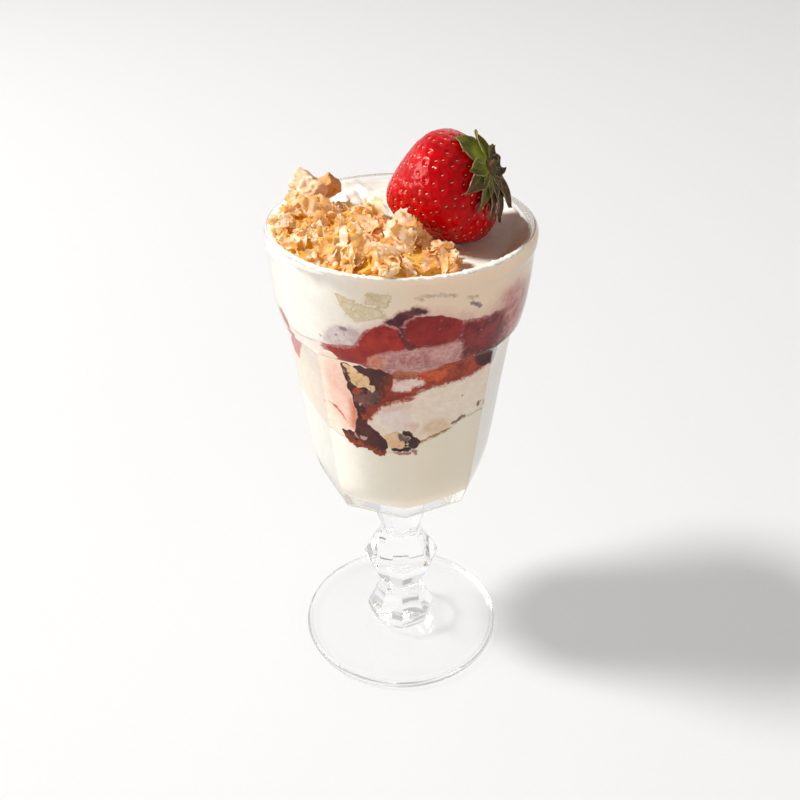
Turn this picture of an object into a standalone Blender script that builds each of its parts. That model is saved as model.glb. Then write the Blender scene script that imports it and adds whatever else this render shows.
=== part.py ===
"""A glass of layered strawberry cream dessert, at its real size in metres, standing on z = 0.

The glass is one pressed piece: a round foot, an octagonal stem with a bead on it, an octagonal bowl and a
round collar. Its middle axis is the z axis. Angles round it are counted from the front (-y) towards +x.
The filling is layers that run right through, and garnish lies on the top layer.
"""

import math
import random

import bmesh
import bpy
from mathutils import Matrix, Vector, noise

MM = 0.001
GAP = 0.3 * MM  # clearance between pieces that touch on the real dessert

# --- glass ---
SIDES = 8
SEGMENTS = 32  # points round the glass and the layers: four for each side of the octagon
FRONT_CORNER = math.radians(3.0)  # one corner of the octagon points a little right of the front
RIM_HEIGHT = 163.5 * MM
RIM_RADIUS = 41.0 * MM
SHARP_EDGE = math.radians(28)  # edges bent more than this are shaded sharp

# Each station is height, corner radius (both in mm) and how octagonal it is: 0 is round, 1 has flat sides.
FOOT = [
    (0.9, 13.0, 0), (0.0, 29.0, 0), (0.0, 34.0, 0), (0.9, 35.5, 0), (2.1, 35.6, 0), (3.0, 34.2, 0),
    (4.9, 19.5, 0),
]
STEM = [
    (6.3, 11.4, 0.6), (8.4, 12.4, 1), (10.4, 12.3, 1), (15.0, 9.3, 1), (19.8, 7.9, 1), (22.2, 7.3, 1),
    (26.6, 9.9, 1), (31.2, 12.6, 1), (34.7, 13.7, 1), (45.2, 7.3, 1), (47.2, 6.9, 1), (52.0, 8.6, 1),
    (58.5, 10.3, 1),
]
BOWL = [
    (64.4, 14.0, 1), (68.4, 21.0, 1), (70.5, 26.5, 1), (74.7, 28.1, 1), (82.0, 29.75, 1), (93.0, 31.3, 1),
    (105.0, 32.7, 1), (118.0, 34.4, 1), (132.6, 36.3, 1),
]
COLLAR = [
    (134.6, 37.5, 0), (141.0, 38.9, 0), (151.0, 39.9, 0), (161.6, 40.9, 0), (162.9, 40.8, 0),
    (163.5, 39.8, 0),
]
# The inner wall, from the rim down to the floor of the bowl.
INSIDE = [
    (163.2, 38.8, 0), (161.6, 38.2, 0), (151.0, 36.3, 0), (141.0, 34.0, 0), (134.0, 31.9, 0),
    (118.0, 29.6, 0), (105.0, 28.1, 0), (93.0, 26.8, 0), (84.0, 25.8, 0), (79.0, 24.0, 0), (76.2, 20.0, 0),
    (75.0, 12.0, 0),
]
BOWL_FLOOR = 74.6 * MM

# --- layers: where each boundary meets the glass, as angle in degrees from the front and height in mm ---
CREAM_LEVEL = 159.4 * MM
FILL_FLOOR = BOWL_FLOOR + GAP
SEAM = [
    (-140, 104.0), (-80, 104.5), (-52, 104.4), (-38, 101.6), (-26, 99.2), (-8, 98.8), (4, 100.5), (14, 102.8),
    (26, 104.6), (41, 108.5), (65, 110.0), (110, 107.5), (160, 105.0),
]
FRUIT_UNDER = [
    (-120, 124.0), (-84, 120.5), (-66, 131.0), (-50, 133.6), (-36, 135.6), (-27, 132.4), (-12, 129.8),
    (-1, 123.2), (8, 122.6), (22, 124.3), (42, 124.6), (56, 130.0), (85, 133.5), (130, 132.0), (180, 130.0),
]
FRUIT_OVER = [
    (-120, 140.0), (-74, 140.2), (-55, 137.0), (-38, 138.0), (-24, 139.6), (-14, 146.4), (0, 151.6),
    (14, 150.8), (30, 147.6), (48, 146.4), (75, 146.0), (120, 143.0), (170, 141.0),
]
LAYER_RINGS = (0.86, 0.6, 0.3)  # where the rings of a layer's faces lie, as shares of its reach
LAYER_WAVE = 1.2  # height in mm of the waves on a layer's faces
FLOOR_CURVE_TOP = 92.0  # height in mm up to which the lowest cream follows the rounded bowl

# --- what lies against the glass between the creams: corners as angle in degrees and height in mm ---
SAUCE_OUTLINE = [
    (-27, 134.0), (-13, 131.6), (-4, 127.2), (-3, 121.4), (-8, 118.0), (-13, 115.4), (-15, 111.6),
    (-11, 107.2), (-5, 101.4), (-6, 97.2), (-13, 96.6), (-27, 97.4), (-38, 99.8), (-40, 104.6), (-31, 107.2),
    (-28, 112.0), (-30, 120.0), (-32, 130.0),
]
UPPER_BISCUIT_OUTLINE = [
    (-30, 128.4), (-23, 128.6), (-16, 126.2), (-13.5, 123.6), (-18, 121.4), (-25, 123.2),
]
LOWER_BISCUIT_OUTLINE = [
    (-8, 108.0), (-2, 109.6), (4, 108.6), (4, 102.2), (-2, 100.2), (-6.5, 102.6),
]
SAUCE_DEPTH = 5.0 * MM
BISCUIT_DEPTH = 3.2 * MM
OUTSIDE_REACH = 3.0 * MM  # how far such a slab starts outside the wall, before it is trimmed

# --- strawberry ---
BERRY_CENTRE = Vector((16.0, -3.4, 174.7)) * MM
BERRY_HEADING = math.radians(-20.7)  # where its leafy end points on the plan, from +x
BERRY_RISE = math.radians(27.2)  # how far the leafy end points up
BERRY_RADIUS = 17.2 * MM
BERRY_TIP = 18.6 * MM  # from the centre to the tip
BERRY_SHOULDER = 12.9 * MM  # from the centre to the leafy end
BERRY_FLATTENING = 0.108  # it is this much wider one way than round
BERRY_FLAT_TURN = math.radians(127.3)
BERRY_BEND = 4.5 * MM  # how far both ends curve away from the middle
BERRY_BEND_TURN = math.radians(126.7)
BERRY_SEGMENTS = 24
BERRY_RINGS = 15
BERRY_ROOM = 1.2 * GAP  # how far the other pieces are cut back from the berry
BERRY_MARGIN = 1.2 * MM  # flakes keep this far off the berry

# Leaves of the crown: angle round the berry's axis in degrees, then length, half-width and the lift of the
# tip in mm.
LEAVES = [
    (112, 10.5, 2.9, 0.8), (64, 9.5, 2.3, 2.6), (22, 8.0, 1.7, 3.0), (172, 9.0, 2.3, 2.0),
    (213, 12.8, 2.4, 1.0), (247, 13.0, 2.2, 1.4), (275, 15.5, 2.3, 1.4), (300, 16.0, 2.0, 3.4),
    (340, 8.0, 2.1, 2.4),
]
LEAF_THICKNESS = 0.6 * MM
LEAF_CLEARANCE = 0.8 * MM
LEAF_STEPS = 5
LEAF_FOLD = 0.3 * MM  # how far a leaf's edges stand above its middle
LEAF_WAVE = 0.25 * MM
SKIN_STEP = 0.004  # share of the berry's length walked at a time to find a place on its skin
CROWN_RADIUS = 3.0 * MM
CROWN_HEIGHT = 2.3 * MM
CROWN_SEGMENTS = 12
STALK_RADIUS = 1.2 * MM
STALK_LENGTH = 2.4 * MM

# --- crumbs ---
CHUNK_CENTRE = Vector((-26.2, 13.0, 167.9)) * MM
CHUNK_SIZE = Vector((11.8, 9.2, 8.0)) * MM
CHUNK_TURN = (math.radians(14), math.radians(-18), math.radians(28))
CHUNK_CRAG = 1.5 * MM  # depth of its crumbly dents
CHUNK_ROOM = 1.4 * GAP  # how far the heap is cut back from it
CHUNK_MARGIN = 7.4 * MM  # flakes keep this far from its middle
HEAP_CENTRE = Vector((-14.0, -12.0)) * MM
HEAP_FLOOR = CREAM_LEVEL + 0.9 * MM
HEAP_EDGE = 0.4 * MM  # thickness at the outline
# Outline of the heap: angle in degrees round its centre, counted like the others, and reach in mm.
HEAP_OUTLINE = [
    (-150, 30.0), (-115, 25.0), (-75, 21.5), (-30, 21.0), (5, 23.0), (40, 28.0), (70, 32.5), (88, 24.0),
    (115, 15.0), (150, 18.0), (180, 27.0),
]
HEAP_SEGMENTS = 40
HEAP_RINGS = 5
HEAP_LEAST = 1.6  # height in mm between the hills
HEAP_WAVE = 0.9
# Hills of the heap: place on the plan, height over its floor and spread, in mm.
HILLS = [
    (-26, 4, 5.6, 11), (-14, -10, 4.8, 12), (-24, -14, 4.0, 9), (0, -15, 9.4, 5.4), (13, -25, 6.2, 4.6),
    (-5, -30, 6.4, 7), (-12, 6, 4.0, 7), (5, -24, 5.4, 6),
]
FLAKES = 98
FLAKE_SEED = 11
SPILLED_FLAKES = 5  # these lie over the rim at the front
SPILL_ANGLES = (math.radians(-17), math.radians(3))
SPILL_REACH = (35.6 * MM, 36.8 * MM)
SPILL_LENGTH = 8.0 * MM
SPILL_HEIGHT = RIM_HEIGHT + 0.8 * MM
FLAKE_LENGTH = (3.4 * MM, 7.2 * MM)
FLAKE_THICKNESS = 0.75 * MM
FLAKES_WITHIN = 34.5 * MM  # their middles stay this near the axis, so that they clear the wall


# --- helpers ---

def clear_scene():
    """Removes whatever the scene starts with."""
    for thing in list(bpy.data.objects):
        bpy.data.objects.remove(thing, do_unlink=True)


def material(name, colour, roughness, transmission=0.0, subsurface=0.0):
    """A Principled material with this linear colour."""
    made = bpy.data.materials.new(name)
    made.use_nodes = True
    shader = made.node_tree.nodes["Principled BSDF"]
    shader.inputs["Base Color"].default_value = (*colour, 1.0)
    shader.inputs["Roughness"].default_value = roughness
    shader.inputs["Metallic"].default_value = 0.0
    shader.inputs["Transmission Weight"].default_value = transmission
    shader.inputs["Subsurface Weight"].default_value = subsurface
    return made


def object_from(bm, name, finish=None):
    """Turns a bmesh into a smooth-shaded object of this name, with its faces outward."""
    bmesh.ops.recalc_face_normals(bm, faces=bm.faces)
    mesh = bpy.data.meshes.new(name)
    bm.to_mesh(mesh)
    bm.free()
    mesh.shade_smooth()
    mesh.set_sharp_from_angle(angle=SHARP_EDGE)
    made = bpy.data.objects.new(name, mesh)
    bpy.context.scene.collection.objects.link(made)
    if finish:
        mesh.materials.append(finish)
    return made


def apply_modifiers(thing):
    """Makes the object's modifiers part of its mesh."""
    bpy.context.view_layer.update()
    graph = bpy.context.evaluated_depsgraph_get()
    mesh = bpy.data.meshes.new_from_object(thing.evaluated_get(graph))
    thing.modifiers.clear()
    thing.data = mesh


def shape_with(thing, helpers, operation="DIFFERENCE"):
    """Cuts each helper's shape out of the object, or keeps what lies in it. Helpers stay as hidden guides.

    The exact solver loses these thin slabs, so this takes the manifold one: every mesh here is closed.
    """
    for helper in helpers:
        helper.hide_render = True
        helper.display_type = "WIRE"
        cut = thing.modifiers.new("Shape with " + helper.name, "BOOLEAN")
        cut.operation = operation
        cut.object = helper
        cut.solver = "MANIFOLD"


def trim(thing, helpers):
    """Cuts the helpers' shapes out for good, and drops any loose scrap that this leaves."""
    shape_with(thing, helpers)
    apply_modifiers(thing)
    keep_largest_body(thing)


def fuse(core, pieces):
    """Joins the pieces onto the core as one body, then removes them."""
    group = bpy.data.collections.new(core.name + "_pieces")
    bpy.context.scene.collection.children.link(group)
    for piece in pieces:
        bpy.context.scene.collection.objects.unlink(piece)
        group.objects.link(piece)
    union = core.modifiers.new("Fuse", "BOOLEAN")
    union.operation = "UNION"
    union.operand_type = "COLLECTION"
    union.collection = group
    union.solver = "MANIFOLD"
    apply_modifiers(core)
    for piece in pieces:
        bpy.data.objects.remove(piece, do_unlink=True)
    bpy.data.collections.remove(group)
    core.data.shade_smooth()
    core.data.set_sharp_from_angle(angle=SHARP_EDGE)


def keep_largest_body(thing):
    """Drops the loose scraps that cutting leaves, keeping the piece with the most faces."""
    bm = bmesh.new()
    bm.from_mesh(thing.data)
    bodies = []
    unseen = set(bm.verts)
    while unseen:
        front = [unseen.pop()]
        body = set(front)
        while front:
            for edge in front.pop().link_edges:
                for vertex in edge.verts:
                    if vertex in unseen:
                        unseen.remove(vertex)
                        body.add(vertex)
                        front.append(vertex)
        bodies.append(body)
    bodies.sort(key=len)
    for body in bodies[:-1]:
        bmesh.ops.delete(bm, geom=list(body), context="VERTS")
    bm.to_mesh(thing.data)
    bm.free()


def smooth_between(points, degrees):
    """Value at this angle on a closed smooth curve through (angle, value) points."""
    points = sorted(points)
    turned = [(points[-1][0] - 360, points[-1][1])] + points + [(points[0][0] + 360, points[0][1])]
    degrees = (degrees - turned[0][0]) % 360 + turned[0][0]
    for (start, low), (end, high) in zip(turned, turned[1:]):
        if start <= degrees <= end:
            part = (degrees - start) / (end - start)
            return low + (high - low) * part * part * (3 - 2 * part)
    return points[0][1]


def between(stations, height):
    """Radius at this height on a list of (height, radius, facet) stations, in metres."""
    stations = sorted(stations)
    height_mm = min(max(height / MM, stations[0][0]), stations[-1][0])
    for low, high in zip(stations, stations[1:]):
        if low[0] <= height_mm <= high[0]:
            part = (height_mm - low[0]) / max(high[0] - low[0], 1e-6)
            return (low[1] + (high[1] - low[1]) * part) * MM
    return stations[-1][1] * MM


def at_angle(angle, radius, height):
    """Point at this angle round the glass, counted from the front towards +x."""
    return Vector((radius * math.sin(angle), -radius * math.cos(angle), height))


def station_angle(step):
    return FRONT_CORNER + step * math.tau / SEGMENTS


def outline_radius(radius, facet, angle):
    """Distance from the axis at this angle: a circle, or flat sides between the corners of an octagon."""
    half = math.pi / SIDES
    swing = (angle - FRONT_CORNER) % (2 * half) - half
    return radius * (1 + facet * (math.cos(half) / math.cos(swing) - 1))


def skin_rings(bm, rings, closed_bottom, closed_top):
    """Joins rings of points into one closed skin, with a single point at either end."""
    rows = [[bm.verts.new(point) for point in ring] for ring in rings]
    count = len(rows[0])
    for lower, upper in zip(rows, rows[1:]):
        for step in range(count):
            after = (step + 1) % count
            bm.faces.new((lower[step], lower[after], upper[after], upper[step]))
    for row, end in ((rows[0], closed_bottom), (rows[-1], closed_top)):
        tip = bm.verts.new(end)
        for step in range(count):
            bm.faces.new((row[step], row[(step + 1) % count], tip))


# --- glass ---

def build_glass(finish):
    bm = bmesh.new()
    rings = []
    for height, radius, facet in FOOT + STEM + BOWL + COLLAR + INSIDE:
        ring = []
        for step in range(SEGMENTS):
            angle = station_angle(step)
            ring.append(at_angle(angle, outline_radius(radius, facet, angle) * MM, height * MM))
        rings.append(ring)
    hollow_underside = FOOT[0][0] * MM
    skin_rings(bm, rings, (0, 0, hollow_underside), (0, 0, BOWL_FLOOR))
    return object_from(bm, "glass", finish)


# --- layers ---

def layer_ring(share, boundary, offset):
    """A ring of points on a boundary, at this share of the way from the axis to the glass."""
    mean = sum(height for _, height in boundary) / len(boundary)
    ring = []
    for step in range(SEGMENTS):
        angle = station_angle(step)
        edge = smooth_between(boundary, math.degrees(angle))
        wave = LAYER_WAVE * noise.noise((math.sin(angle) * 2 * share, math.cos(angle) * 2 * share, mean))
        height = (mean + (edge - mean) * share * share + wave * (1 - share)) * MM + offset
        radius = share * (between(INSIDE, height) - GAP)
        ring.append(at_angle(angle, radius, height))
    return ring


def build_layer(name, under, over, finish):
    """A layer that fills the glass from wall to wall between two boundaries."""
    bottom = [layer_ring(share, under, GAP / 2) for share in reversed(LAYER_RINGS)]
    top = [layer_ring(share, over, -GAP / 2) for share in LAYER_RINGS]
    low_edge = layer_ring(1.0, under, GAP / 2)
    high_edge = layer_ring(1.0, over, -GAP / 2)
    side = []
    for part in (1 / 3, 2 / 3):
        ring = []
        for step, (low, high) in enumerate(zip(low_edge, high_edge)):
            height = low.z + (high.z - low.z) * part
            ring.append(at_angle(station_angle(step), between(INSIDE, height) - GAP, height))
        side.append(ring)
    under_mean = sum(point.z for point in bottom[0]) / SEGMENTS
    over_mean = sum(point.z for point in top[-1]) / SEGMENTS
    bm = bmesh.new()
    skin_rings(bm, bottom + [low_edge] + side + [high_edge] + top, (0, 0, under_mean), (0, 0, over_mean))
    return object_from(bm, name, finish)


def build_lower_cream(finish):
    """The bottom layer, which fills the rounded floor of the bowl."""
    rings = []
    for height, radius, _ in reversed(INSIDE):
        if height < FLOOR_CURVE_TOP:
            rings.append([at_angle(station_angle(step), radius * MM - GAP, height * MM + GAP)
                          for step in range(SEGMENTS)])
    high_edge = layer_ring(1.0, SEAM, -GAP / 2)
    rings += [high_edge] + [layer_ring(share, SEAM, -GAP / 2) for share in LAYER_RINGS]
    top_mean = sum(point.z for point in rings[-1]) / SEGMENTS
    bm = bmesh.new()
    skin_rings(bm, rings, (0, 0, FILL_FLOOR), (0, 0, top_mean))
    return object_from(bm, "cream_lower", finish)


def build_top_cream(finish):
    """The top layer, spread nearly level a little under the rim."""
    surface = [(angle, CREAM_LEVEL / MM + 0.3 * math.sin(math.radians(2 * angle)))
               for angle in range(-180, 180, 30)]
    return build_layer("cream_top", FRUIT_OVER, surface, finish)


def build_filling_room():
    """A helper the shape of the whole inside of the glass, for trimming what lies against its wall."""
    rings = []
    for height, radius, _ in reversed(INSIDE):
        rings.append([at_angle(station_angle(step), radius * MM - GAP, height * MM)
                      for step in range(SEGMENTS)])
    bm = bmesh.new()
    skin_rings(bm, rings, (0, 0, BOWL_FLOOR), (0, 0, INSIDE[0][0] * MM))
    return object_from(bm, "filling_room")


def grown_outline(corners, grow):
    """The clockwise flat outline moved outward by this much, with its corners kept sharp."""
    moved = []
    count = len(corners)
    for step in range(count):
        before, here, after = (corners[(step + k) % count] for k in (-1, 0, 1))
        sides = [(here - before).normalized(), (after - here).normalized()]
        outward = [Vector((-side.y, side.x)) for side in sides]
        middle = (outward[0] + outward[1]).normalized()
        moved.append(here + middle * grow / max(middle.dot(outward[0]), 0.35))
    return moved


def wall_piece(name, outline, depth, grow=0.0, finish=None):
    """A slab that passes through the wall, from its outline by angle and height.

    It starts outside the wall, to be trimmed to the inside of the glass. grow makes it a larger helper.
    """
    angles = [math.radians(angle) for angle, _ in outline]
    heights = [height * MM for _, height in outline]
    middle = (min(angles) + max(angles)) / 2
    facing = at_angle(middle, 1.0, 0.0)
    sideways = at_angle(middle + math.pi / 2, 1.0, 0.0)
    low, high = min(heights), max(heights)
    lean = (between(INSIDE, high) - between(INSIDE, low)) / (high - low)
    sag = between(INSIDE, low) * (1 - math.cos((max(angles) - min(angles)) / 2))
    flat = [Vector((between(INSIDE, height) * math.sin(angle - middle), height))
            for angle, height in zip(angles, heights)]
    bm = bmesh.new()
    corners = []
    for reach in (OUTSIDE_REACH, -depth - sag - grow):
        for across, height in grown_outline(flat, grow):
            distance = between(INSIDE, low) + lean * (height - low) + reach
            corners.append(bm.verts.new(facing * distance + sideways * across + Vector((0, 0, height))))
    count = len(flat)
    outer, inner = corners[:count], corners[count:]
    for step in range(count):
        after = (step + 1) % count
        bm.faces.new((outer[step], outer[after], inner[after], inner[step]))
    bm.faces.new(outer)
    bm.faces.new(inner)
    bmesh.ops.triangulate(bm, faces=bm.faces[:])
    return object_from(bm, name, finish)


# --- strawberry ---

def berry_frame():
    """The berry's own axes as a matrix: z runs from the tip to the leaves, and x lies level."""
    level_part = math.cos(BERRY_RISE)
    axis = Vector((level_part * math.cos(BERRY_HEADING), level_part * math.sin(BERRY_HEADING),
                   math.sin(BERRY_RISE)))
    level = Vector((0, 0, 1)).cross(axis).normalized()
    return Matrix((level, axis.cross(level), axis)).transposed()


def berry_section(part):
    """Centre and mean radius of the berry's cross-section at this part of the way from tip to leaves."""
    along = -BERRY_TIP + (BERRY_TIP + BERRY_SHOULDER) * part
    aside = BERRY_BEND * (2 * part - 1) ** 2
    centre = Vector((aside * math.cos(BERRY_BEND_TURN), aside * math.sin(BERRY_BEND_TURN), along))
    swell = max(math.sin(math.pi * part ** 1.58), 0.0)
    return centre, BERRY_RADIUS * swell ** (0.31 + 0.36 * part)


def berry_point(part, angle, grow=0.0):
    """Point on the berry's skin, in the berry's own axes."""
    centre, radius = berry_section(part)
    radius = radius * (1 + BERRY_FLATTENING * math.cos(2 * (angle - BERRY_FLAT_TURN))) + grow
    return centre + Vector((radius * math.cos(angle), radius * math.sin(angle), grow * (2 * part - 1)))


def inside_berry(point, margin):
    """True where a point in the glass's axes lies in the berry, or nearer to it than the margin."""
    own = berry_frame().transposed() @ (point - BERRY_CENTRE)
    part = (own.z + BERRY_TIP) / (BERRY_TIP + BERRY_SHOULDER)
    if not -0.1 < part < 1.15:
        return False
    part = min(max(part, 0.0), 1.0)
    centre, _ = berry_section(part)
    angle = math.atan2(own.y - centre.y, own.x - centre.x)
    reach = (berry_point(part, angle) - centre).to_2d().length + margin
    return (own - centre).to_2d().length < reach


def build_berry(name, finish=None, grow=0.0):
    """The whole berry, or with grow an enlarged helper that keeps other pieces clear of it."""
    rings = []
    for row in range(1, BERRY_RINGS):
        part = 0.5 - 0.5 * math.cos(math.pi * row / BERRY_RINGS)
        rings.append([berry_point(part, math.tau * step / BERRY_SEGMENTS, grow)
                      for step in range(BERRY_SEGMENTS)])
    tip = berry_section(0.0)[0] - Vector((0, 0, grow))
    leafy_end = berry_section(1.0)[0] + Vector((0, 0, grow))
    bm = bmesh.new()
    skin_rings(bm, rings, tip, leafy_end)
    berry = object_from(bm, name, finish)
    berry.location = BERRY_CENTRE
    berry.rotation_euler = berry_frame().to_euler()
    return berry


def berry_skin(angle, arc):
    """Point this far along the skin from the leafy end, and the outward direction there."""
    part = 1.0
    point = berry_point(part, angle)
    walked = 0.0
    while walked < arc:
        part -= SKIN_STEP
        after = berry_point(part, angle)
        walked += (after - point).length
        point = after
    along = berry_point(part - 0.01, angle) - berry_point(min(part + 0.01, 1.0), angle)
    around = berry_point(part, angle + 0.05) - berry_point(part, angle - 0.05)
    return point, along.cross(around).normalized()


def build_leaf(degrees, length, half_width, lift, seed):
    """One pointed leaf of the crown: a thin bent blade that hugs the berry and lifts at its tip."""
    bm = bmesh.new()
    turn = math.radians(degrees)
    sheets = []
    for thickness in (LEAF_THICKNESS, 0.0):
        rows = []
        for step in range(LEAF_STEPS + 1):
            part = step / LEAF_STEPS
            width = half_width * (0.4 + 0.75 * math.sin(math.pi * part ** 0.8)) * (1 - part ** 3)
            width = max(width, 0.15 * MM)
            arc = CROWN_RADIUS * 0.6 + length * part
            middle, _ = berry_skin(turn, arc)
            from_axis = (middle - berry_section(0.9)[0]).to_2d().length
            row = []
            for side in (-1, 0, 1):
                skin, outward = berry_skin(turn + side * width / max(from_axis, 2.0 * MM), arc)
                fold = LEAF_FOLD * abs(side) * math.sin(math.pi * part)
                wave = LEAF_WAVE * side * math.sin(9 * part + seed) * part
                rise = LEAF_CLEARANCE + lift * part * part + thickness * (1 - 0.4 * part) + fold + wave
                row.append(bm.verts.new(skin + outward * rise))
            rows.append(row)
        sheets.append(rows)
    top, bottom = sheets
    for step in range(LEAF_STEPS):
        for column in range(2):
            for sheet in sheets:
                a, b = sheet[step][column], sheet[step][column + 1]
                c, d = sheet[step + 1][column + 1], sheet[step + 1][column]
                bm.faces.new((a, b, c))
                bm.faces.new((a, c, d))
        for column in (0, 2):
            bm.faces.new((top[step][column], top[step + 1][column],
                          bottom[step + 1][column], bottom[step][column]))
    for step in (0, LEAF_STEPS):
        for column in range(2):
            bm.faces.new((top[step][column], top[step][column + 1],
                          bottom[step][column + 1], bottom[step][column]))
    return object_from(bm, "leaf")


def build_calyx(finish):
    """The crown of leaves round a short stalk, one body clear of the berry."""
    end, _ = berry_section(1.0)
    before, _ = berry_section(0.94)
    upward = (end - before).normalized()
    stand = upward.to_track_quat("Z", "Y")
    stations = [
        (CROWN_RADIUS, 0.0), (CROWN_RADIUS * 0.92, CROWN_HEIGHT * 0.65),
        (CROWN_RADIUS * 0.5, CROWN_HEIGHT * 0.87), (STALK_RADIUS, CROWN_HEIGHT),
        (STALK_RADIUS * 0.9, CROWN_HEIGHT + STALK_LENGTH),
    ]
    base = end + upward * LEAF_CLEARANCE * 0.6
    rings = []
    for radius, height in stations:
        ring = []
        for step in range(CROWN_SEGMENTS):
            turn = math.tau * step / CROWN_SEGMENTS
            ring.append(base + stand @ Vector((radius * math.cos(turn), radius * math.sin(turn), height)))
        rings.append(ring)
    bm = bmesh.new()
    skin_rings(bm, rings, base, base + upward * (CROWN_HEIGHT + STALK_LENGTH))
    calyx = object_from(bm, "strawberry_calyx", finish)
    leaves = [build_leaf(degrees, length * MM, width * MM, lift * MM, seed)
              for seed, (degrees, length, width, lift) in enumerate(LEAVES)]
    fuse(calyx, leaves)
    keep_largest_body(calyx)
    return calyx


# --- crumbs ---

def build_chunk(name, finish=None, grow=0.0):
    """The big broken piece of biscuit, a block with crumbly faces, or with grow its enlarged helper."""
    bm = bmesh.new()
    bmesh.ops.create_cube(bm, size=1.0)
    bmesh.ops.bevel(bm, geom=bm.edges[:], offset=0.12, segments=1, affect="EDGES")
    bmesh.ops.subdivide_edges(bm, edges=bm.edges[:], cuts=1, use_grid_fill=True)
    bmesh.ops.triangulate(bm, faces=bm.faces[:])
    for vertex in bm.verts:
        crag = noise.noise(vertex.co * 2.6 + Vector((4.0, 1.0, 7.0))) + 0.5 * noise.noise(vertex.co * 6.0)
        outward = vertex.co.normalized()
        size = Vector(a * b for a, b in zip(vertex.co, CHUNK_SIZE))
        vertex.co = size + outward * (CHUNK_CRAG * crag + grow)
    chunk = object_from(bm, name, finish)
    chunk.location = CHUNK_CENTRE
    chunk.rotation_euler = CHUNK_TURN
    return chunk


def heap_height(x, y):
    """Height of the crumb heap over its floor at this place on the plan, in metres."""
    height = HEAP_LEAST
    for hill_x, hill_y, top, spread in HILLS:
        away = ((x / MM - hill_x) ** 2 + (y / MM - hill_y) ** 2) / spread ** 2
        height = max(height, top * math.exp(-away))
    return (height + HEAP_WAVE * noise.noise((x / MM * 0.35, y / MM * 0.35, 2.0))) * MM


def build_heap_core(finish):
    """The body of the crumb heap, without the flakes that stand out of it."""
    rings = []
    wall = between(INSIDE, HEAP_FLOOR) - 2 * GAP
    for row in range(HEAP_RINGS, 0, -1):
        share = row / HEAP_RINGS
        ring = []
        for step in range(HEAP_SEGMENTS):
            angle = math.tau * step / HEAP_SEGMENTS
            reach = smooth_between(HEAP_OUTLINE, math.degrees(angle)) * MM * share
            place = HEAP_CENTRE + Vector((math.sin(angle), -math.cos(angle))) * reach
            if place.length > wall * (0.9 + 0.1 * share):
                place = place.normalized() * wall * (0.9 + 0.1 * share)
            height = HEAP_EDGE + heap_height(place.x, place.y) * (1 - share ** 6)
            ring.append(Vector((place.x, place.y, HEAP_FLOOR + height)))
        rings.append(ring)
    floor = [Vector((point.x, point.y, HEAP_FLOOR)) for point in rings[0]]
    peak = HEAP_FLOOR + HEAP_EDGE + heap_height(*HEAP_CENTRE)
    bm = bmesh.new()
    skin_rings(bm, [floor] + rings, (*HEAP_CENTRE, HEAP_FLOOR), (*HEAP_CENTRE, peak))
    return object_from(bm, "crumble", finish)


def clear_of_others(points):
    """True where the points keep off the glass, the berry, the chunk and the cream."""
    for point in points:
        if inside_berry(point, BERRY_MARGIN) or (point - CHUNK_CENTRE).length < CHUNK_MARGIN:
            return False
        if point.z < HEAP_FLOOR - 0.5 * MM:
            return False
        from_axis = math.hypot(point.x, point.y)
        under_rim = point.z < RIM_HEIGHT + 0.4 * MM
        if from_axis > (between(INSIDE, point.z) - 2 * GAP if under_rim else RIM_RADIUS):
            return False
    return True


def build_flake(rng, spilled):
    """One thin curled flake standing out of the heap, or None where it would cross something else."""
    if spilled:
        angle = rng.uniform(*SPILL_ANGLES)
        place = Vector((math.sin(angle), -math.cos(angle))) * rng.uniform(*SPILL_REACH)
        height = SPILL_HEIGHT
        length = SPILL_LENGTH
        heading = angle + math.pi / 2
        lean = rng.uniform(-0.1, 0.1)
    else:
        angle = rng.uniform(0, math.tau)
        share = math.sqrt(rng.uniform(0.0, 1.0))
        reach = smooth_between(HEAP_OUTLINE, math.degrees(angle)) * MM * share
        place = HEAP_CENTRE + Vector((math.sin(angle), -math.cos(angle))) * reach
        if place.length > FLAKES_WITHIN:
            place = place.normalized() * FLAKES_WITHIN
        height = HEAP_FLOOR + 0.6 * MM + heap_height(*place) * (1 - share ** 6)
        length = rng.uniform(*FLAKE_LENGTH)
        heading = rng.uniform(0, math.tau)
        lean = rng.uniform(-0.9, 0.9)
    width = length * rng.uniform(0.5, 0.8)
    bm = bmesh.new()
    bmesh.ops.create_grid(bm, x_segments=2, y_segments=1, size=0.5)
    curl = rng.uniform(0.1, 0.4)
    for vertex in bm.verts:
        narrow = 1 - 0.35 * rng.random()
        rise = 4 * curl * length * vertex.co.x ** 2
        vertex.co = Vector((vertex.co.x * length, vertex.co.y * width * narrow, rise))
    upper = bmesh.ops.extrude_face_region(bm, geom=bm.faces[:], use_keep_orig=True)
    moved = [item for item in upper["geom"] if isinstance(item, bmesh.types.BMVert)]
    bmesh.ops.translate(bm, verts=moved, vec=(0, 0, FLAKE_THICKNESS))
    bmesh.ops.triangulate(bm, faces=bm.faces[:])
    tilt = Matrix.Rotation(heading, 4, "Z") @ Matrix.Rotation(lean, 4, "X")
    middle = Matrix.Translation((place.x, place.y, height))
    bmesh.ops.transform(bm, matrix=middle @ tilt, verts=bm.verts)
    if not clear_of_others([vertex.co for vertex in bm.verts]):
        bm.free()
        return None
    return object_from(bm, "flake")


def build_crumble(finish, berry_room, chunk_room):
    """The heap of flaky crumbs: a core cut round the berry and the chunk, with flakes fused onto it."""
    heap = build_heap_core(finish)
    trim(heap, [berry_room, chunk_room])
    rng = random.Random(FLAKE_SEED)
    flakes = []
    while len(flakes) < FLAKES:
        flake = build_flake(rng, spilled=len(flakes) < SPILLED_FLAKES)
        if flake:
            flakes.append(flake)
    fuse(heap, flakes)
    keep_largest_body(heap)
    return heap


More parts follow.
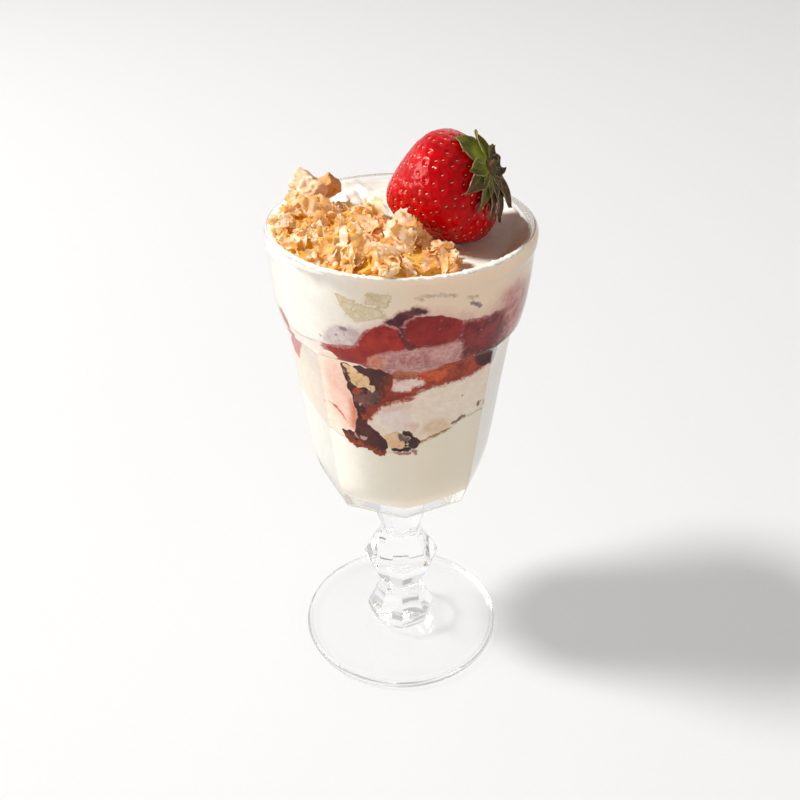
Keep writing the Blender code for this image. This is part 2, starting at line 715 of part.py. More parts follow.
def main():
    clear_scene()
    clear_glass = material("clear glass", (0.95, 0.97, 0.96), 0.02, transmission=1.0)
    cream = material("whipped cream", (0.86, 0.80, 0.68), 0.45, subsurface=0.2)
    fruit = material("cooked strawberry", (0.38, 0.05, 0.04), 0.30)
    sauce = material("dark fruit sauce", (0.06, 0.015, 0.012), 0.25)
    biscuit = material("biscuit", (0.62, 0.36, 0.15), 0.75)
    flaky = material("flaky crumbs", (0.72, 0.44, 0.16), 0.60)
    red_skin = material("strawberry skin", (0.55, 0.01, 0.02), 0.28)
    leaf = material("strawberry leaf", (0.10, 0.18, 0.03), 0.60)

    build_glass(clear_glass)

    filling_room = build_filling_room()
    sauce_room = wall_piece("sauce_room", SAUCE_OUTLINE, SAUCE_DEPTH, grow=GAP)
    upper_room = wall_piece("upper_biscuit_room", UPPER_BISCUIT_OUTLINE, BISCUIT_DEPTH, grow=GAP)
    lower_room = wall_piece("lower_biscuit_room", LOWER_BISCUIT_OUTLINE, BISCUIT_DEPTH, grow=GAP)
    swirl = wall_piece("sauce_swirl", SAUCE_OUTLINE, SAUCE_DEPTH, finish=sauce)
    upper = wall_piece("biscuit_piece_upper", UPPER_BISCUIT_OUTLINE, BISCUIT_DEPTH, finish=biscuit)
    lower = wall_piece("biscuit_piece_lower", LOWER_BISCUIT_OUTLINE, BISCUIT_DEPTH, finish=biscuit)
    for piece in (swirl, upper, lower):
        shape_with(piece, [filling_room], operation="INTERSECT")
    shape_with(swirl, [upper_room, lower_room])

    trim(build_lower_cream(cream), [sauce_room, lower_room])
    trim(build_layer("cream_middle", SEAM, FRUIT_UNDER, cream), [sauce_room, upper_room, lower_room])
    trim(build_layer("fruit_layer", FRUIT_UNDER, FRUIT_OVER, fruit), [sauce_room])

    berry = build_berry("strawberry", red_skin)
    berry_room = build_berry("strawberry_room", grow=BERRY_ROOM)
    calyx = build_calyx(leaf)
    calyx.parent = berry
    trim(calyx, [berry_room])
    chunk_room = build_chunk("chunk_room", grow=CHUNK_ROOM)
    build_chunk("biscuit_chunk", biscuit)
    trim(build_top_cream(cream), [berry_room])
    build_crumble(flaky, berry_room, chunk_room)


main()
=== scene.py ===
# %% [markdown]
# # A glass of layered strawberry cream
# The imported solids hold the true sizes of this dessert. This lesson dresses them: clear pressed glass, creams
# that fill it to the wall, fruit and sauce seen through it, a heap of flaky crumbs and a fresh strawberry.
# The solids are loaded first, and each is hidden once its dressed piece is built. The dressed dessert must not
# outgrow it.
# %% Load the imported solids
import math
import random

import bmesh
import bpy
import numpy as np
from mathutils import Matrix, Vector, noise


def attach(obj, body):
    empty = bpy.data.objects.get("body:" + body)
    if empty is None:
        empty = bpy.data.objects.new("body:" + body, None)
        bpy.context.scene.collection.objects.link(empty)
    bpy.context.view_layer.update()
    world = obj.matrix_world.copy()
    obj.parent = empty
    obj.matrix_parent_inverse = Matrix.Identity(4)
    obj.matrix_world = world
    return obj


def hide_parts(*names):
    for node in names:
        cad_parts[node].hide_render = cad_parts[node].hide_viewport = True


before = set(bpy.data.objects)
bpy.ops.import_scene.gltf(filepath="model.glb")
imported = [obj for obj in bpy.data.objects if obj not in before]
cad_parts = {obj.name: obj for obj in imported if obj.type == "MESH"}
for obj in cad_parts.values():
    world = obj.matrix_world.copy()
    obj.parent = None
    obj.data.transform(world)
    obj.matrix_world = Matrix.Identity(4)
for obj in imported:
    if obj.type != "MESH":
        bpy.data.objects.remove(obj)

MM = 0.001
TEAR_SEED = 7
noise.seed_set(TEAR_SEED)  # noise_vector starts from the clock otherwise, and torn edges would change
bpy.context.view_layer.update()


# %% [markdown]
# ## Working habits
# An operator acts on everything that is selected, so each piece starts with nothing selected. A finished
# piece has its place in its mesh and its object at the origin, so that patterns stay where they are put.
# %% Helpers for modelling
def select_only(piece=None):
    """Leaves object mode's selection empty, or with this one piece in it."""
    if bpy.context.object and bpy.context.object.mode != "OBJECT":
        bpy.ops.object.mode_set(mode="OBJECT")
    bpy.ops.object.select_all(action="DESELECT")
    if piece:
        piece.select_set(True)
        bpy.context.view_layer.objects.active = piece


def finish_piece(piece, finish):
    """Puts the piece's place into its mesh, gives it its material and shades it."""
    select_only(piece)
    bpy.ops.object.transform_apply(location=True, rotation=True, scale=True)
    piece.data.materials.clear()
    piece.data.materials.append(finish)
    bpy.ops.object.shade_smooth()
    print(piece.name, "has", len(piece.data.vertices), "vertices")
    return piece


def with_modifier(piece, kind, **settings):
    """Adds a modifier, sets it and applies it."""
    select_only(piece)
    added = piece.modifiers.new(kind.title(), kind)
    for name, value in settings.items():
        setattr(added, name, value)
    bpy.ops.object.modifier_apply(modifier=added.name)


# %% [markdown]
# A glass and all that fills it are round, so they grow from one circle. It is extruded ring by ring, and
# every new ring is moved to where the profile wants it. The two ends are closed on a single point.
# %% Grow a piece ring by ring
def move_new_ring(piece, before, points):
    """Moves the newest ring to its points. before holds the last ring's vertex numbers, in order."""
    mesh = bmesh.from_edit_mesh(piece.data)
    mesh.verts.ensure_lookup_table()
    count = len(points)
    order = [0] * count
    place = {number: step for step, number in enumerate(before)}
    for vertex in mesh.verts[-count:]:
        for edge in vertex.link_edges:
            step = place.get(edge.other_vert(vertex).index)
            if step is not None:
                order[step] = vertex.index
                vertex.co = points[step]
    bmesh.update_edit_mesh(piece.data)
    return order


def close_end(piece, ring, point):
    """Extrudes one end's ring and merges it into a single point."""
    bpy.ops.mesh.select_all(action="DESELECT")
    mesh = bmesh.from_edit_mesh(piece.data)
    mesh.verts.ensure_lookup_table()
    for number in ring:
        mesh.verts[number].select = True
    mesh.select_flush(True)
    bmesh.update_edit_mesh(piece.data)
    bpy.ops.mesh.extrude_region()
    bpy.ops.mesh.merge(type="CENTER")
    mesh = bmesh.from_edit_mesh(piece.data)
    for vertex in mesh.verts:
        if vertex.select:
            vertex.co = point
    bmesh.update_edit_mesh(piece.data)


def grow_rings(name, rings, start, end):
    """A closed round piece through these rings of points."""
    select_only()
    bpy.ops.mesh.primitive_circle_add(vertices=len(rings[0]), radius=MM)
    piece = bpy.context.object
    piece.name = piece.data.name = name
    for vertex, point in zip(piece.data.vertices, rings[0]):
        vertex.co = point
    bpy.ops.object.mode_set(mode="EDIT")
    bpy.ops.mesh.select_mode(type="VERT")
    bpy.ops.mesh.select_all(action="SELECT")
    first = ring = list(range(len(rings[0])))
    for points in rings[1:]:
        bpy.ops.mesh.extrude_region()
        ring = move_new_ring(piece, ring, points)
    close_end(piece, ring, end)
    close_end(piece, first, start)
    bpy.ops.mesh.select_all(action="SELECT")
    bpy.ops.mesh.normals_make_consistent(inside=False)
    bpy.ops.object.mode_set(mode="OBJECT")
    return piece


# %% [markdown]
# ## Colours and nodes
# Colours are picked as sRGB hex and turned to linear once, because shaders count light. One helper adds every
# shader node: a plain value sets a socket, and another node's output is linked to it. The small helpers after
# it add the few nodes that nearly every finish needs.
# %% Helpers for finishes
def linear(code):
    """Linear colour from sRGB hex."""
    parts = [int(code[i:i + 2], 16) / 255 for i in (1, 3, 5)]
    return (*[p / 12.92 if p <= 0.04045 else ((p + 0.055) / 1.055) ** 2.4 for p in parts], 1.0)


def new_finish(name):
    """An empty material and its output node."""
    finish = bpy.data.materials.new(name)
    finish.use_nodes = True
    finish.node_tree.nodes.clear()
    return finish, add(finish, "OutputMaterial")


def add(finish, kind, settings=None, **sockets):
    """Adds one shader node. A socket is named with _ for a space, or by number as in _6."""
    made = finish.node_tree.nodes.new("ShaderNode" + kind)
    for name, value in (settings or {}).items():
        setattr(made, name, value)
    for name, value in sockets.items():
        socket = made.inputs[int(name[1:])] if name[0] == "_" else made.inputs[name.replace("_", " ")]
        if isinstance(value, bpy.types.NodeSocket):
            finish.node_tree.links.new(value, socket)
        else:
            socket.default_value = value
    return made


def blend(finish, share, low, high, way="MIX"):
    """Colour between two by a share from 0 to 1. A colour is a hex code, a value or a node's output."""
    low, high = (linear(colour) if isinstance(colour, str) else colour for colour in (low, high))
    settings = {"data_type": "RGBA", "blend_type": way}
    return add(finish, "Mix", settings, _0=share, _6=low, _7=high).outputs[2]


def ramp(finish, value, start, end, top=1.0):
    """0 up to where the value is start, then rising to top where it is end."""
    return add(finish, "MapRange", Value=value, _1=start, _2=end, _4=top).outputs[0]


def math_node(finish, operation, *values):
    """A sum on values or nodes' outputs. MULTIPLY_ADD is the first times the second, plus the third."""
    numbered = {f"_{number}": value for number, value in enumerate(values)}
    return add(finish, "Math", {"operation": operation}, **numbered).outputs[0]


def clouds(finish, place, scale, detail, roughness=0.5):
    """Soft uneven patches, of which about this many follow one another in a metre."""
    made = add(finish, "TexNoise", Vector=place, Scale=scale, Detail=detail, Roughness=roughness)
    return made.outputs["Fac"]


def own_place(finish):
    """Each point's place on the piece, which stays put however the piece is turned."""
    return add(finish, "TexCoord").outputs["Object"]


def stored(finish, name):
    """The value that the modelling stored on the piece's points under this name."""
    return add(finish, "Attribute", {"attribute_name": name}).outputs["Fac"]


def complete(finish, out, shader):
    finish.node_tree.links.new(shader.outputs[0], out.inputs[0])
    return finish


# %% [markdown]
# ## Stage, light and camera
# The dessert was photographed on a white sweep, and one hard-edged key light stands nearly straight to its
# left, fifty degrees up. The floor glows a little of its own accord. That stands for the light which a white
# sweep and a white room throw to and fro, and it fills the shaded side of the glass from below.
# %% Floor
FLOOR_SIZE = 9.0
FLOOR_GLOW = 0.40


def build_stage():
    select_only()
    bpy.ops.mesh.primitive_plane_add(size=FLOOR_SIZE)
    floor = bpy.context.object
    floor.name = "floor"
    with_modifier(floor, "SUBSURF", subdivision_type="SIMPLE", levels=2, render_levels=2)
    paper, out = new_finish("matt white paper sweep")
    tone = blend(paper, clouds(paper, own_place(paper), 900.0, 2.0), "#B6B6B7", "#BABABA")
    sheet = add(paper, "BsdfPrincipled", Base_Color=tone, Roughness=0.9, Emission_Color=(1.0, 1.0, 1.0, 1.0),
                Emission_Strength=FLOOR_GLOW, Specular_IOR_Level=0.1)
    floor.data.materials.append(complete(paper, out, sheet))


build_stage()
print("floor", FLOOR_SIZE, "m wide")

# %% [markdown]
# Glassware is photographed between white cards and black flags, and what it mirrors matters more than what
# lights it. So the room looks different to each kind of ray. Matt surfaces are lit by pale walls under a dark
# ceiling. Shiny skins mirror a dimmer room with one bright card in it. Light that passes through the glass
# sees an even pale backdrop, and light turned round inside it sees stripes of card and gap.
# %% The room
LEFT_WALL, RIGHT_WALL = 0.95, 0.8
OVERHEAD = (0.070, 0.056, 0.036, 1.0)
CEILING_FROM, CEILING_FULL = 0.12, 0.62  # how far up a ray points where walls turn to ceiling, of 1
SHINE_CUT = 0.85  # share of the room's light that shiny skins don't mirror
BACKDROP = 0.8
CARD = (-0.9607, -0.0335, 0.2756)  # direction of the white card: at the left, low, a touch to the front
CARD_FROM, CARD_FULL = 0.91, 0.945  # how near a ray has to point to it, 1 is dead on
CARD_LIGHT = 13.0
INNER_GLINTS = 0.5, 1.0  # the gaps and the cards that light turned round inside the glass sees
INNER_STRIPES = 7.0  # how many radians of the stripes' wave there are to a unit across
INNER_BOUNCES = 1.5  # a mirrored ray past this many bounces has been turned round inside


def grey(light):
    return (light, light, light, 1.0)


def build_room():
    world = bpy.data.worlds.new("white room")
    bpy.context.scene.world = world
    world.use_nodes = True
    sky = world.node_tree.nodes["Background"]
    towards = add(world, "TexCoord").outputs["Generated"]
    parts = add(world, "SeparateXYZ", Vector=towards)
    across = ramp(world, parts.outputs["X"], -1.0, 1.0)
    height = ramp(world, parts.outputs["Z"], CEILING_FROM, CEILING_FULL)
    walls = blend(world, across, grey(LEFT_WALL), grey(RIGHT_WALL))
    tone = blend(world, height, walls, OVERHEAD)
    rays = add(world, "LightPath")
    shiny, passing = rays.outputs["Is Glossy Ray"], rays.outputs["Is Transmission Ray"]
    mirrored = blend(world, math_node(world, "MULTIPLY", shiny, SHINE_CUT), tone, grey(0.0))
    seen = blend(world, passing, mirrored, grey(BACKDROP))
    far_in = math_node(world, "GREATER_THAN", rays.outputs["Ray Depth"], INNER_BOUNCES)
    inner = math_node(world, "MULTIPLY", shiny, far_in)
    wave = math_node(world, "SINE", math_node(world, "MULTIPLY", parts.outputs["X"], INNER_STRIPES))
    glints = blend(world, ramp(world, wave, -1.0, 1.0), grey(INNER_GLINTS[0]), grey(INNER_GLINTS[1]))
    seen = blend(world, inner, seen, glints)
    nearness = add(world, "VectorMath", {"operation": "DOT_PRODUCT"}, _0=towards, _1=CARD).outputs["Value"]
    card = ramp(world, nearness, CARD_FROM, CARD_FULL, CARD_LIGHT)
    glint = math_node(world, "MULTIPLY", shiny, card)
    world.node_tree.links.new(blend(world, 1.0, seen, glint, "ADD"), sky.inputs["Color"])


build_room()
print("card for shiny skins points to", CARD)

# %% [markdown]
# The camera looks down by about 33 degrees. Its place was worked out from the glass's outline in the photo.
# %% Key light and camera
KEY_SIZE, KEY_AWAY = 0.42, 2.2
KEY_POWER = 61.0
KEY_TINT = (1.0, 0.985, 0.96)
KEY_UP = 50.0
KEY_ROUND = -89.5  # degrees round from the front, so almost straight from the left
KEY_AIM = Vector((0, 0, 0.1))  # the middle of the dessert
LENS, SENSOR = 45.68, 36.0  # mm
LENS_SHIFT = -0.00125  # in widths of the picture
CAMERA_PLACE = (0.0, -0.282565, 0.282340)
CAMERA_TILT = 57.124  # degrees up from straight down
NEAREST_SEEN = 0.01


def build_key():
    key = bpy.data.lights.new("key", "AREA")
    key.shape = "DISK"
    key.size = KEY_SIZE
    key.energy = KEY_POWER
    key.color = KEY_TINT
    lamp = bpy.data.objects.new("key", key)
    bpy.context.scene.collection.objects.link(lamp)
    up, round_ = math.radians(KEY_UP), math.radians(KEY_ROUND)
    aim = Vector((math.cos(up) * math.sin(round_), -math.cos(up) * math.cos(round_), math.sin(up)))
    lamp.location = aim * KEY_AWAY + KEY_AIM
    lamp.rotation_euler = aim.to_track_quat("Z", "Y").to_euler()


def build_camera():
    lens = bpy.data.cameras.new("camera")
    lens.lens = LENS
    lens.sensor_width = SENSOR
    lens.shift_x = LENS_SHIFT
    lens.clip_start = NEAREST_SEEN
    camera = bpy.data.objects.new("camera", lens)
    camera.location = CAMERA_PLACE
    camera.rotation_euler = (math.radians(CAMERA_TILT), 0.0, 0.0)
    bpy.context.scene.collection.objects.link(camera)
    bpy.context.scene.camera = camera


build_key()
build_camera()
bpy.context.scene.view_settings.view_transform = "Standard"
print("key light", KEY_AWAY, "m away")

# %% [markdown]
# ## The glass
# It was pressed in one piece: a round foot, an eight-sided stem with a bead, an eight-sided bowl and a
# round collar. Each station below gives a height, the radius to a corner, how eight-sided it is there (0 is
# round) and how softly the mould rounded it, all in mm. Softened corners catch the thin bright lines that
# make glass read.
# %% Profile of the glass
SIDES = 8
FRONT_CORNER = math.radians(3.0)
OUTSIDE = [
    (0.9, 13.0, 0, 3.0), (0.1, 29.0, 0, 2.0), (0.1, 34.0, 0, 0.9), (0.9, 35.4, 0, 0.8),
    (2.2, 35.75, 0, 0.8), (3.4, 35.1, 0, 0.7), (3.4, 34.2, 0, 0.5), (1.9, 33.4, 0, 0.4),
    (2.0, 31.8, 0, 0.8), (4.0, 25.0, 0, 3.0), (4.9, 19.5, 0, 3.0), (6.3, 11.4, 0.6, 0.8),
    (8.4, 12.4, 1, 0.6), (10.4, 12.3, 1, 0.6), (15.0, 9.3, 1, 2.0), (19.8, 7.9, 1, 1.0),
    (22.2, 7.3, 1, 0.8), (26.6, 9.9, 1, 2.0), (31.2, 12.6, 1, 1.0), (34.7, 13.7, 1, 0.9),
    (45.2, 7.3, 1, 1.0), (47.2, 6.9, 1, 0.9), (52.0, 8.6, 1, 2.4), (58.5, 10.3, 1, 2.4),
    (64.4, 14.0, 1, 2.4), (68.4, 21.0, 1, 2.8), (70.5, 26.5, 1, 2.2), (74.7, 28.1, 1, 2.4),
    (82.0, 29.75, 1, 3.0), (93.0, 31.3, 1, 4.0), (105.0, 32.7, 1, 4.0), (118.0, 34.4, 1, 4.0),
    (132.6, 36.3, 1, 0.6), (134.6, 37.5, 0, 0.7), (141.0, 38.9, 0, 3.0), (151.0, 39.9, 0, 4.0),
    (157.8, 40.2, 0, 1.2), (159.4, 40.85, 0, 0.9), (162.2, 40.9, 0, 1.0), (163.5, 39.9, 0, 1.2),
]
INSIDE = [
    (163.3, 38.9, 0, 0.8), (161.6, 38.2, 0, 1.0), (151.0, 36.3, 0, 4.0), (141.0, 34.0, 0, 3.0),
    (134.0, 31.9, 0, 3.0), (118.0, 29.6, 0, 4.0), (105.0, 28.1, 0, 4.0), (93.0, 26.8, 0, 3.0),
    (84.0, 26.0, 0, 2.4), (78.0, 25.0, 0, 2.6), (74.6, 22.4, 0, 2.6), (73.2, 16.0, 0, 4.0),
]
BOWL_FLOOR = 72.8 * MM
CORNER_SOFTNESS = 150  # a higher power makes the eight upright edges crisper


def soft_profile(stations, steps=5):
    """The stations as a chain of points with each corner rounded off over its own reach."""
    points = [Vector(station[:3]) for station in stations]
    chain = [points[0]]
    for before, here, after, station in zip(points, points[1:], points[2:], stations[1:]):
        ends = []
        for other in (before, after):
            length = (other - here).to_2d().length
            ends.append(here.lerp(other, min(station[3], 0.48 * length) / length))
        for step in range(steps):
            part = step / (steps - 1)
            chain.append(ends[0].lerp(here, part).lerp(here.lerp(ends[1], part), part))
    return chain + [points[-1]]


def side_angles(per_side=24):
    """Angles round the glass, closer together near the eight edges."""
    half = math.pi / SIDES
    angles = []
    for side in range(SIDES):
        for step in range(per_side):
            angles.append(FRONT_CORNER + 2 * half * (side + 0.5 - 0.5 * math.cos(math.pi * step / per_side)))
    return angles


def outline_radius(radius, facet, angle):
    """Distance from the axis at this angle, between a circle and an octagon with softened corners."""
    half = math.pi / SIDES
    reach = 0.0
    for side in range(SIDES):
        facing = math.cos(angle - FRONT_CORNER - half - 2 * half * side)
        reach += max(facing, 0.0) ** CORNER_SOFTNESS
    flat = math.cos(half) / reach ** (1 / CORNER_SOFTNESS)
    return radius * (1 + facet * (flat - 1))


def at_angle(angle, radius, height):
    """Point at this angle round the glass, counted from the front towards +x."""
    return Vector((radius * math.sin(angle), -radius * math.cos(angle), height))


# %% [markdown]
# Glass bends light by its IOR of 1.52 and hardly tints it. A traced shadow of solid glass would be black,
# while real glass passes most of the key light, so lamps' rays meet a clear filter instead. It is a little
# darker at glancing angles, where real glass turns light away, and that gives the foot its contact shadow.
# %% Clear pressed glass
TRAPPED = 4.5  # bounces after which light caught inside the glass is let straight out
GLANCING = 0.25, 0.75  # how slanting a ray is where the edge's grey begins and where it is full


def clear_glass():
    finish, out = new_finish("clear soda-lime glass")
    ripple = clouds(finish, own_place(finish), 55.0, 1.0)
    bump = add(finish, "Bump", Strength=0.06, Distance=0.4 * MM, Height=ripple)
    edge = add(finish, "LayerWeight", Blend=0.22)
    grazing = ramp(finish, edge.outputs["Facing"], *GLANCING)
    # The glass's own colour is greyed at glancing angles: painted shade that draws its dark edge lines.
    edge_shade_grey = blend(finish, grazing, "#FFFFFF", "#8E9696")
    body = add(finish, "BsdfPrincipled", Base_Color=edge_shade_grey, Roughness=0.0, IOR=1.52, Transmission_Weight=1.0,
               Specular_Tint=linear("#A0A0A0"), Normal=bump.outputs[0])
    filter_ = add(finish, "BsdfTransparent", Color=blend(finish, grazing, "#FEFEFE", "#929898")).outputs[0]
    rays = add(finish, "LightPath")
    lit = add(finish, "MixShader", _0=rays.outputs["Is Diffuse Ray"], _1=body.outputs[0], _2=filter_)
    trapped = math_node(finish, "GREATER_THAN", rays.outputs["Ray Depth"], TRAPPED)
    freed = add(finish, "MixShader", _0=trapped, _1=lit.outputs[0], _2=filter_)
    mix = add(finish, "MixShader", _0=rays.outputs["Is Shadow Ray"], _1=freed.outputs[0], _2=filter_)
    return complete(finish, out, mix)


# %% Build the glass
outer_chain = soft_profile(OUTSIDE + INSIDE)
glass_angles = side_angles()
glass_rings = [[at_angle(angle, outline_radius(radius, facet, angle) * MM, height * MM)
                for angle in glass_angles] for height, radius, facet in outer_chain]
underside = OUTSIDE[0][0] * MM
glass = grow_rings("pressed_glass", glass_rings, (0, 0, underside), (0, 0, BOWL_FLOOR))
finish_piece(glass, clear_glass())
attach(glass, "root")
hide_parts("glass")

# %% [markdown]
# ## Where the layers meet the glass
# Each boundary is a list of angles round the glass, in degrees from the front, and heights in mm. The
# creams must touch the glass with no air between, or the wall would shine like a mirror. So each filling
# bites a tenth of a millimetre into the wall, which is what wet cream pressed on glass looks like.
# %% Boundaries and the inner wall
CREAM_LEVEL = 159.4
SEAM = [
    (-140, 104.0), (-80, 104.5), (-52, 104.4), (-38, 101.6), (-26, 99.2), (-8, 98.8), (4, 100.5),
    (14, 102.8), (26, 104.6), (41, 108.5), (65, 110.0), (110, 107.5), (160, 105.0),
]
FRUIT_UNDER = [
    (-120, 124.0), (-84, 120.5), (-66, 131.0), (-50, 133.6), (-36, 135.6), (-27, 132.4), (-12, 129.8),
    (-1, 123.2), (8, 122.6), (22, 124.3), (42, 124.6), (56, 130.0), (85, 133.5), (130, 132.0), (180, 130.0),
]
FRUIT_OVER = [
    (-120, 140.0), (-74, 140.2), (-55, 137.0), (-38, 138.0), (-24, 139.6), (-14, 146.4), (0, 151.6),
    (14, 150.8), (30, 147.6), (48, 146.4), (75, 146.0), (120, 143.0), (170, 141.0),
]
WALL_BITE = 0.12
FRONT_STEP, BACK_STEP = 0.65, 2.4  # degrees between columns: fine where the wall is looked at closely
column_degrees = list(np.arange(-100, 100, FRONT_STEP)) + list(np.arange(100, 260, BACK_STEP))
COLUMNS = len(column_degrees)
wall_chain = soft_profile([OUTSIDE[-1]] + INSIDE + [(BOWL_FLOOR / MM, 0.0, 0, 0)])
wall_heights = np.array([point.x for point in reversed(wall_chain)])
wall_radii = np.array([point.y for point in reversed(wall_chain)])
wall_heights[-3:] = np.maximum.accumulate(wall_heights[-3:])


def wall_radius(height):
    """Radius of the inner wall at this height, both in mm."""
    return float(np.interp(height, wall_heights, wall_radii))


def smooth_between(points, degrees):
    """Value at this angle on a closed smooth curve through (angle, value) points."""
    points = sorted(points)
    turned = [(points[-1][0] - 360, points[-1][1])] + points + [(points[0][0] + 360, points[0][1])]
    degrees = (degrees - turned[0][0]) % 360 + turned[0][0]
    for (start, low), (end, high) in zip(turned, turned[1:]):
        if start <= degrees <= end:
            part = (degrees - start) / (end - start)
            return low + (high - low) * part * part * (3 - 2 * part)
    return points[0][1]


def column_angle(step):
    return math.radians(column_degrees[step])


# %% [markdown]
# A layer is a stack of rings: its underside from the middle out, its side up the wall, and its upper face
# back to the middle. The faces inside the glass carry the heights seen at the wall on towards the middle.
# %% Build a layer
LAP = 0.15  # mm by which each layer reaches into its neighbour, so that no air is left between
INNER_SHARES = (0.94, 0.6, 0.3)  # rings of a face, as shares of the way out from the axis
FACE_WAVE = 1.2
LOWER_ROWS, MIDDLE_ROWS, FRUIT_ROWS, TOP_ROWS = 28, 52, 44, 40  # rings up the wall
ROUNDED_TO = 92  # mm up to which the lowest cream follows the bowl's rounded floor
SHORTEST_STEP = 0.05


def face_ring(share, boundary, offset):
    """A ring on a boundary at this share of the way out from the axis. offset is in mm."""
    mean = sum(height for _, height in boundary) / len(boundary)
    ring = []
    for step in range(COLUMNS):
        angle = column_angle(step)
        edge = smooth_between(boundary, math.degrees(angle))
        wave = FACE_WAVE * noise.noise((math.sin(angle) * 2 * share, math.cos(angle) * 2 * share, mean))
        height = mean + (edge - mean) * share * share + wave * (1 - share) + offset
        ring.append(at_angle(angle, share * (wall_radius(height) + WALL_BITE) * MM, height * MM))
    return ring


def side_rings(low_edge, high_edge, rows):
    """Rings up the wall between two edges."""
    rings = []
    for row in range(1, rows):
        ring = []
        for step, (low, high) in enumerate(zip(low_edge, high_edge)):
            height = (low.z + (high.z - low.z) * row / rows) / MM
            ring.append(at_angle(column_angle(step), (wall_radius(height) + WALL_BITE) * MM, height * MM))
        rings.append(ring)
    return rings


def build_layer(name, under, over, rows):
    bottom = [face_ring(share, under, -LAP) for share in reversed(INNER_SHARES)]
    top = [face_ring(share, over, LAP) for share in INNER_SHARES]
    low_edge, high_edge = face_ring(1.0, under, -LAP), face_ring(1.0, over, LAP)
    rings = bottom + [low_edge] + side_rings(low_edge, high_edge, rows) + [high_edge] + top
    ends = [(0, 0, sum(point.z for point in ring) / COLUMNS) for ring in (rings[0], rings[-1])]
    return grow_rings(name, rings, *ends)


# %% [markdown]
# The lowest cream fills the rounded floor of the bowl, so its first rings follow the glass itself, each
# pushed a little into it.
# %% The lowest cream
def build_lowest_cream():
    rings = []
    floor_part = [point for point in reversed(wall_chain) if 0.5 < point.y and point.x < ROUNDED_TO]
    for before, here in zip(floor_part, floor_part[1:]):
        along = (here - before).to_2d().normalized()
        if (here - before).to_2d().length < SHORTEST_STEP:
            continue
        height = here.x - along.y * WALL_BITE
        radius = here.y + along.x * WALL_BITE
        rings.append([at_angle(column_angle(step), radius * MM, height * MM) for step in range(COLUMNS)])
    high_edge = face_ring(1.0, SEAM, LAP)
    rings += side_rings(rings[-1], high_edge, LOWER_ROWS) + [high_edge]
    rings += [face_ring(share, SEAM, LAP) for share in INNER_SHARES]
    top = sum(point.z for point in rings[-1]) / COLUMNS
    return grow_rings("lower_cream", rings, (0, 0, BOWL_FLOOR - WALL_BITE * MM), (0, 0, top))


lower_cream = build_lowest_cream()
middle_cream = build_layer("middle_cream", SEAM, FRUIT_UNDER, MIDDLE_ROWS)
fruit_band = build_layer("fruit_band", FRUIT_UNDER, FRUIT_OVER, FRUIT_ROWS)

# %% [markdown]
# The top cream is spread nearly level, a little under the rim. At the front right it was smeared up the wall
# with a spoon, and at the left it stays lower. Its face is soft, with shallow folds from the spreading.
# %% The top cream
SPREAD_LEVEL = CREAM_LEVEL + 0.2
SMEAR = [  # degrees round, and how far the cream climbs the wall there
    (-180, 2.6), (-150, 2.8), (-125, 1.0), (-100, -1.4), (-84, -1.4), (-70, 0.8), (-56, 2.4), (-44, 3.2),
    (-30, 3.6), (-5, 3.8), (20, 3.8), (45, 3.8), (70, 2.8), (100, 1.6), (140, 2.0), (165, 2.6),
]
SMEAR_FROM = 0.86  # share of the way out where the climb begins
SMEAR_LIMIT = 162.9
PEAKS = [  # x, y, height and reach of the soft peaks
    (-14, 28, 2.4, 6.0), (-5, 25, 2.2, 5.0), (-20, 23, 1.6, 5.0), (-6, 15, 1.8, 4.5), (-16, 17, 1.5, 4.5),
    (2, 30, 1.5, 5.0), (30, 8, 0.7, 4.0),
]
EDGE_SHARES = [1.0, 0.994, 0.985, 0.972, 0.955]


def spread_height(x, y):
    """Height of the cream's face in mm at a place on the plan, also in mm."""
    fold = 0.5 * noise.noise((x * 0.09, y * 0.16, 3.0)) + 0.22 * noise.noise((x * 0.3, y * 0.5, 8.0))
    ripple = 0.1 * noise.noise((x * 1.3, y * 1.3, 5.0))
    peaks = sum(top * math.exp(-((x - at_x) ** 2 + (y - at_y) ** 2) / reach ** 2)
                for at_x, at_y, top, reach in PEAKS)
    crumpled = 1 + 0.9 * noise.noise((x * 0.42, y * 0.42, 1.0)) + 0.5 * noise.noise((x * 0.9, y * 0.9, 7.0))
    return SPREAD_LEVEL + fold + ripple + peaks * crumpled


def top_ring(share):
    ring = []
    for step in range(COLUMNS):
        angle = column_angle(step)
        degrees = math.degrees(angle)
        radius = share * (wall_radius(SPREAD_LEVEL) + WALL_BITE)
        place = at_angle(angle, radius, 0)
        height = spread_height(place.x, place.y)
        broad, small = noise.noise((degrees * 0.11, 1.0, 4.0)), noise.noise((degrees * 0.5, 2.0, 9.0))
        rise = smooth_between(SMEAR, degrees) * (0.9 + 0.4 * broad + 0.35 * small)
        height += rise * max(0.0, (share - SMEAR_FROM) / (1 - SMEAR_FROM)) ** 2.2
        height = min(height, SMEAR_LIMIT)
        if share == 1.0:
            radius = wall_radius(height) + WALL_BITE
        ring.append(at_angle(angle, radius * MM, height * MM))
    return ring


def build_top_cream():
    bottom = [face_ring(share, FRUIT_OVER, -LAP) for share in reversed(INNER_SHARES)]
    low_edge = face_ring(1.0, FRUIT_OVER, -LAP)
    faces = [top_ring(share) for share in EDGE_SHARES + [0.93 - 0.03 * k for k in range(30)]]
    rings = bottom + [low_edge] + side_rings(low_edge, faces[0], TOP_ROWS) + faces
    start = sum(point.z for point in bottom[0]) / COLUMNS
    return grow_rings("top_cream", rings, (0, 0, start), (0, 0, spread_height(0, 0) * MM))


top_cream = build_top_cream()
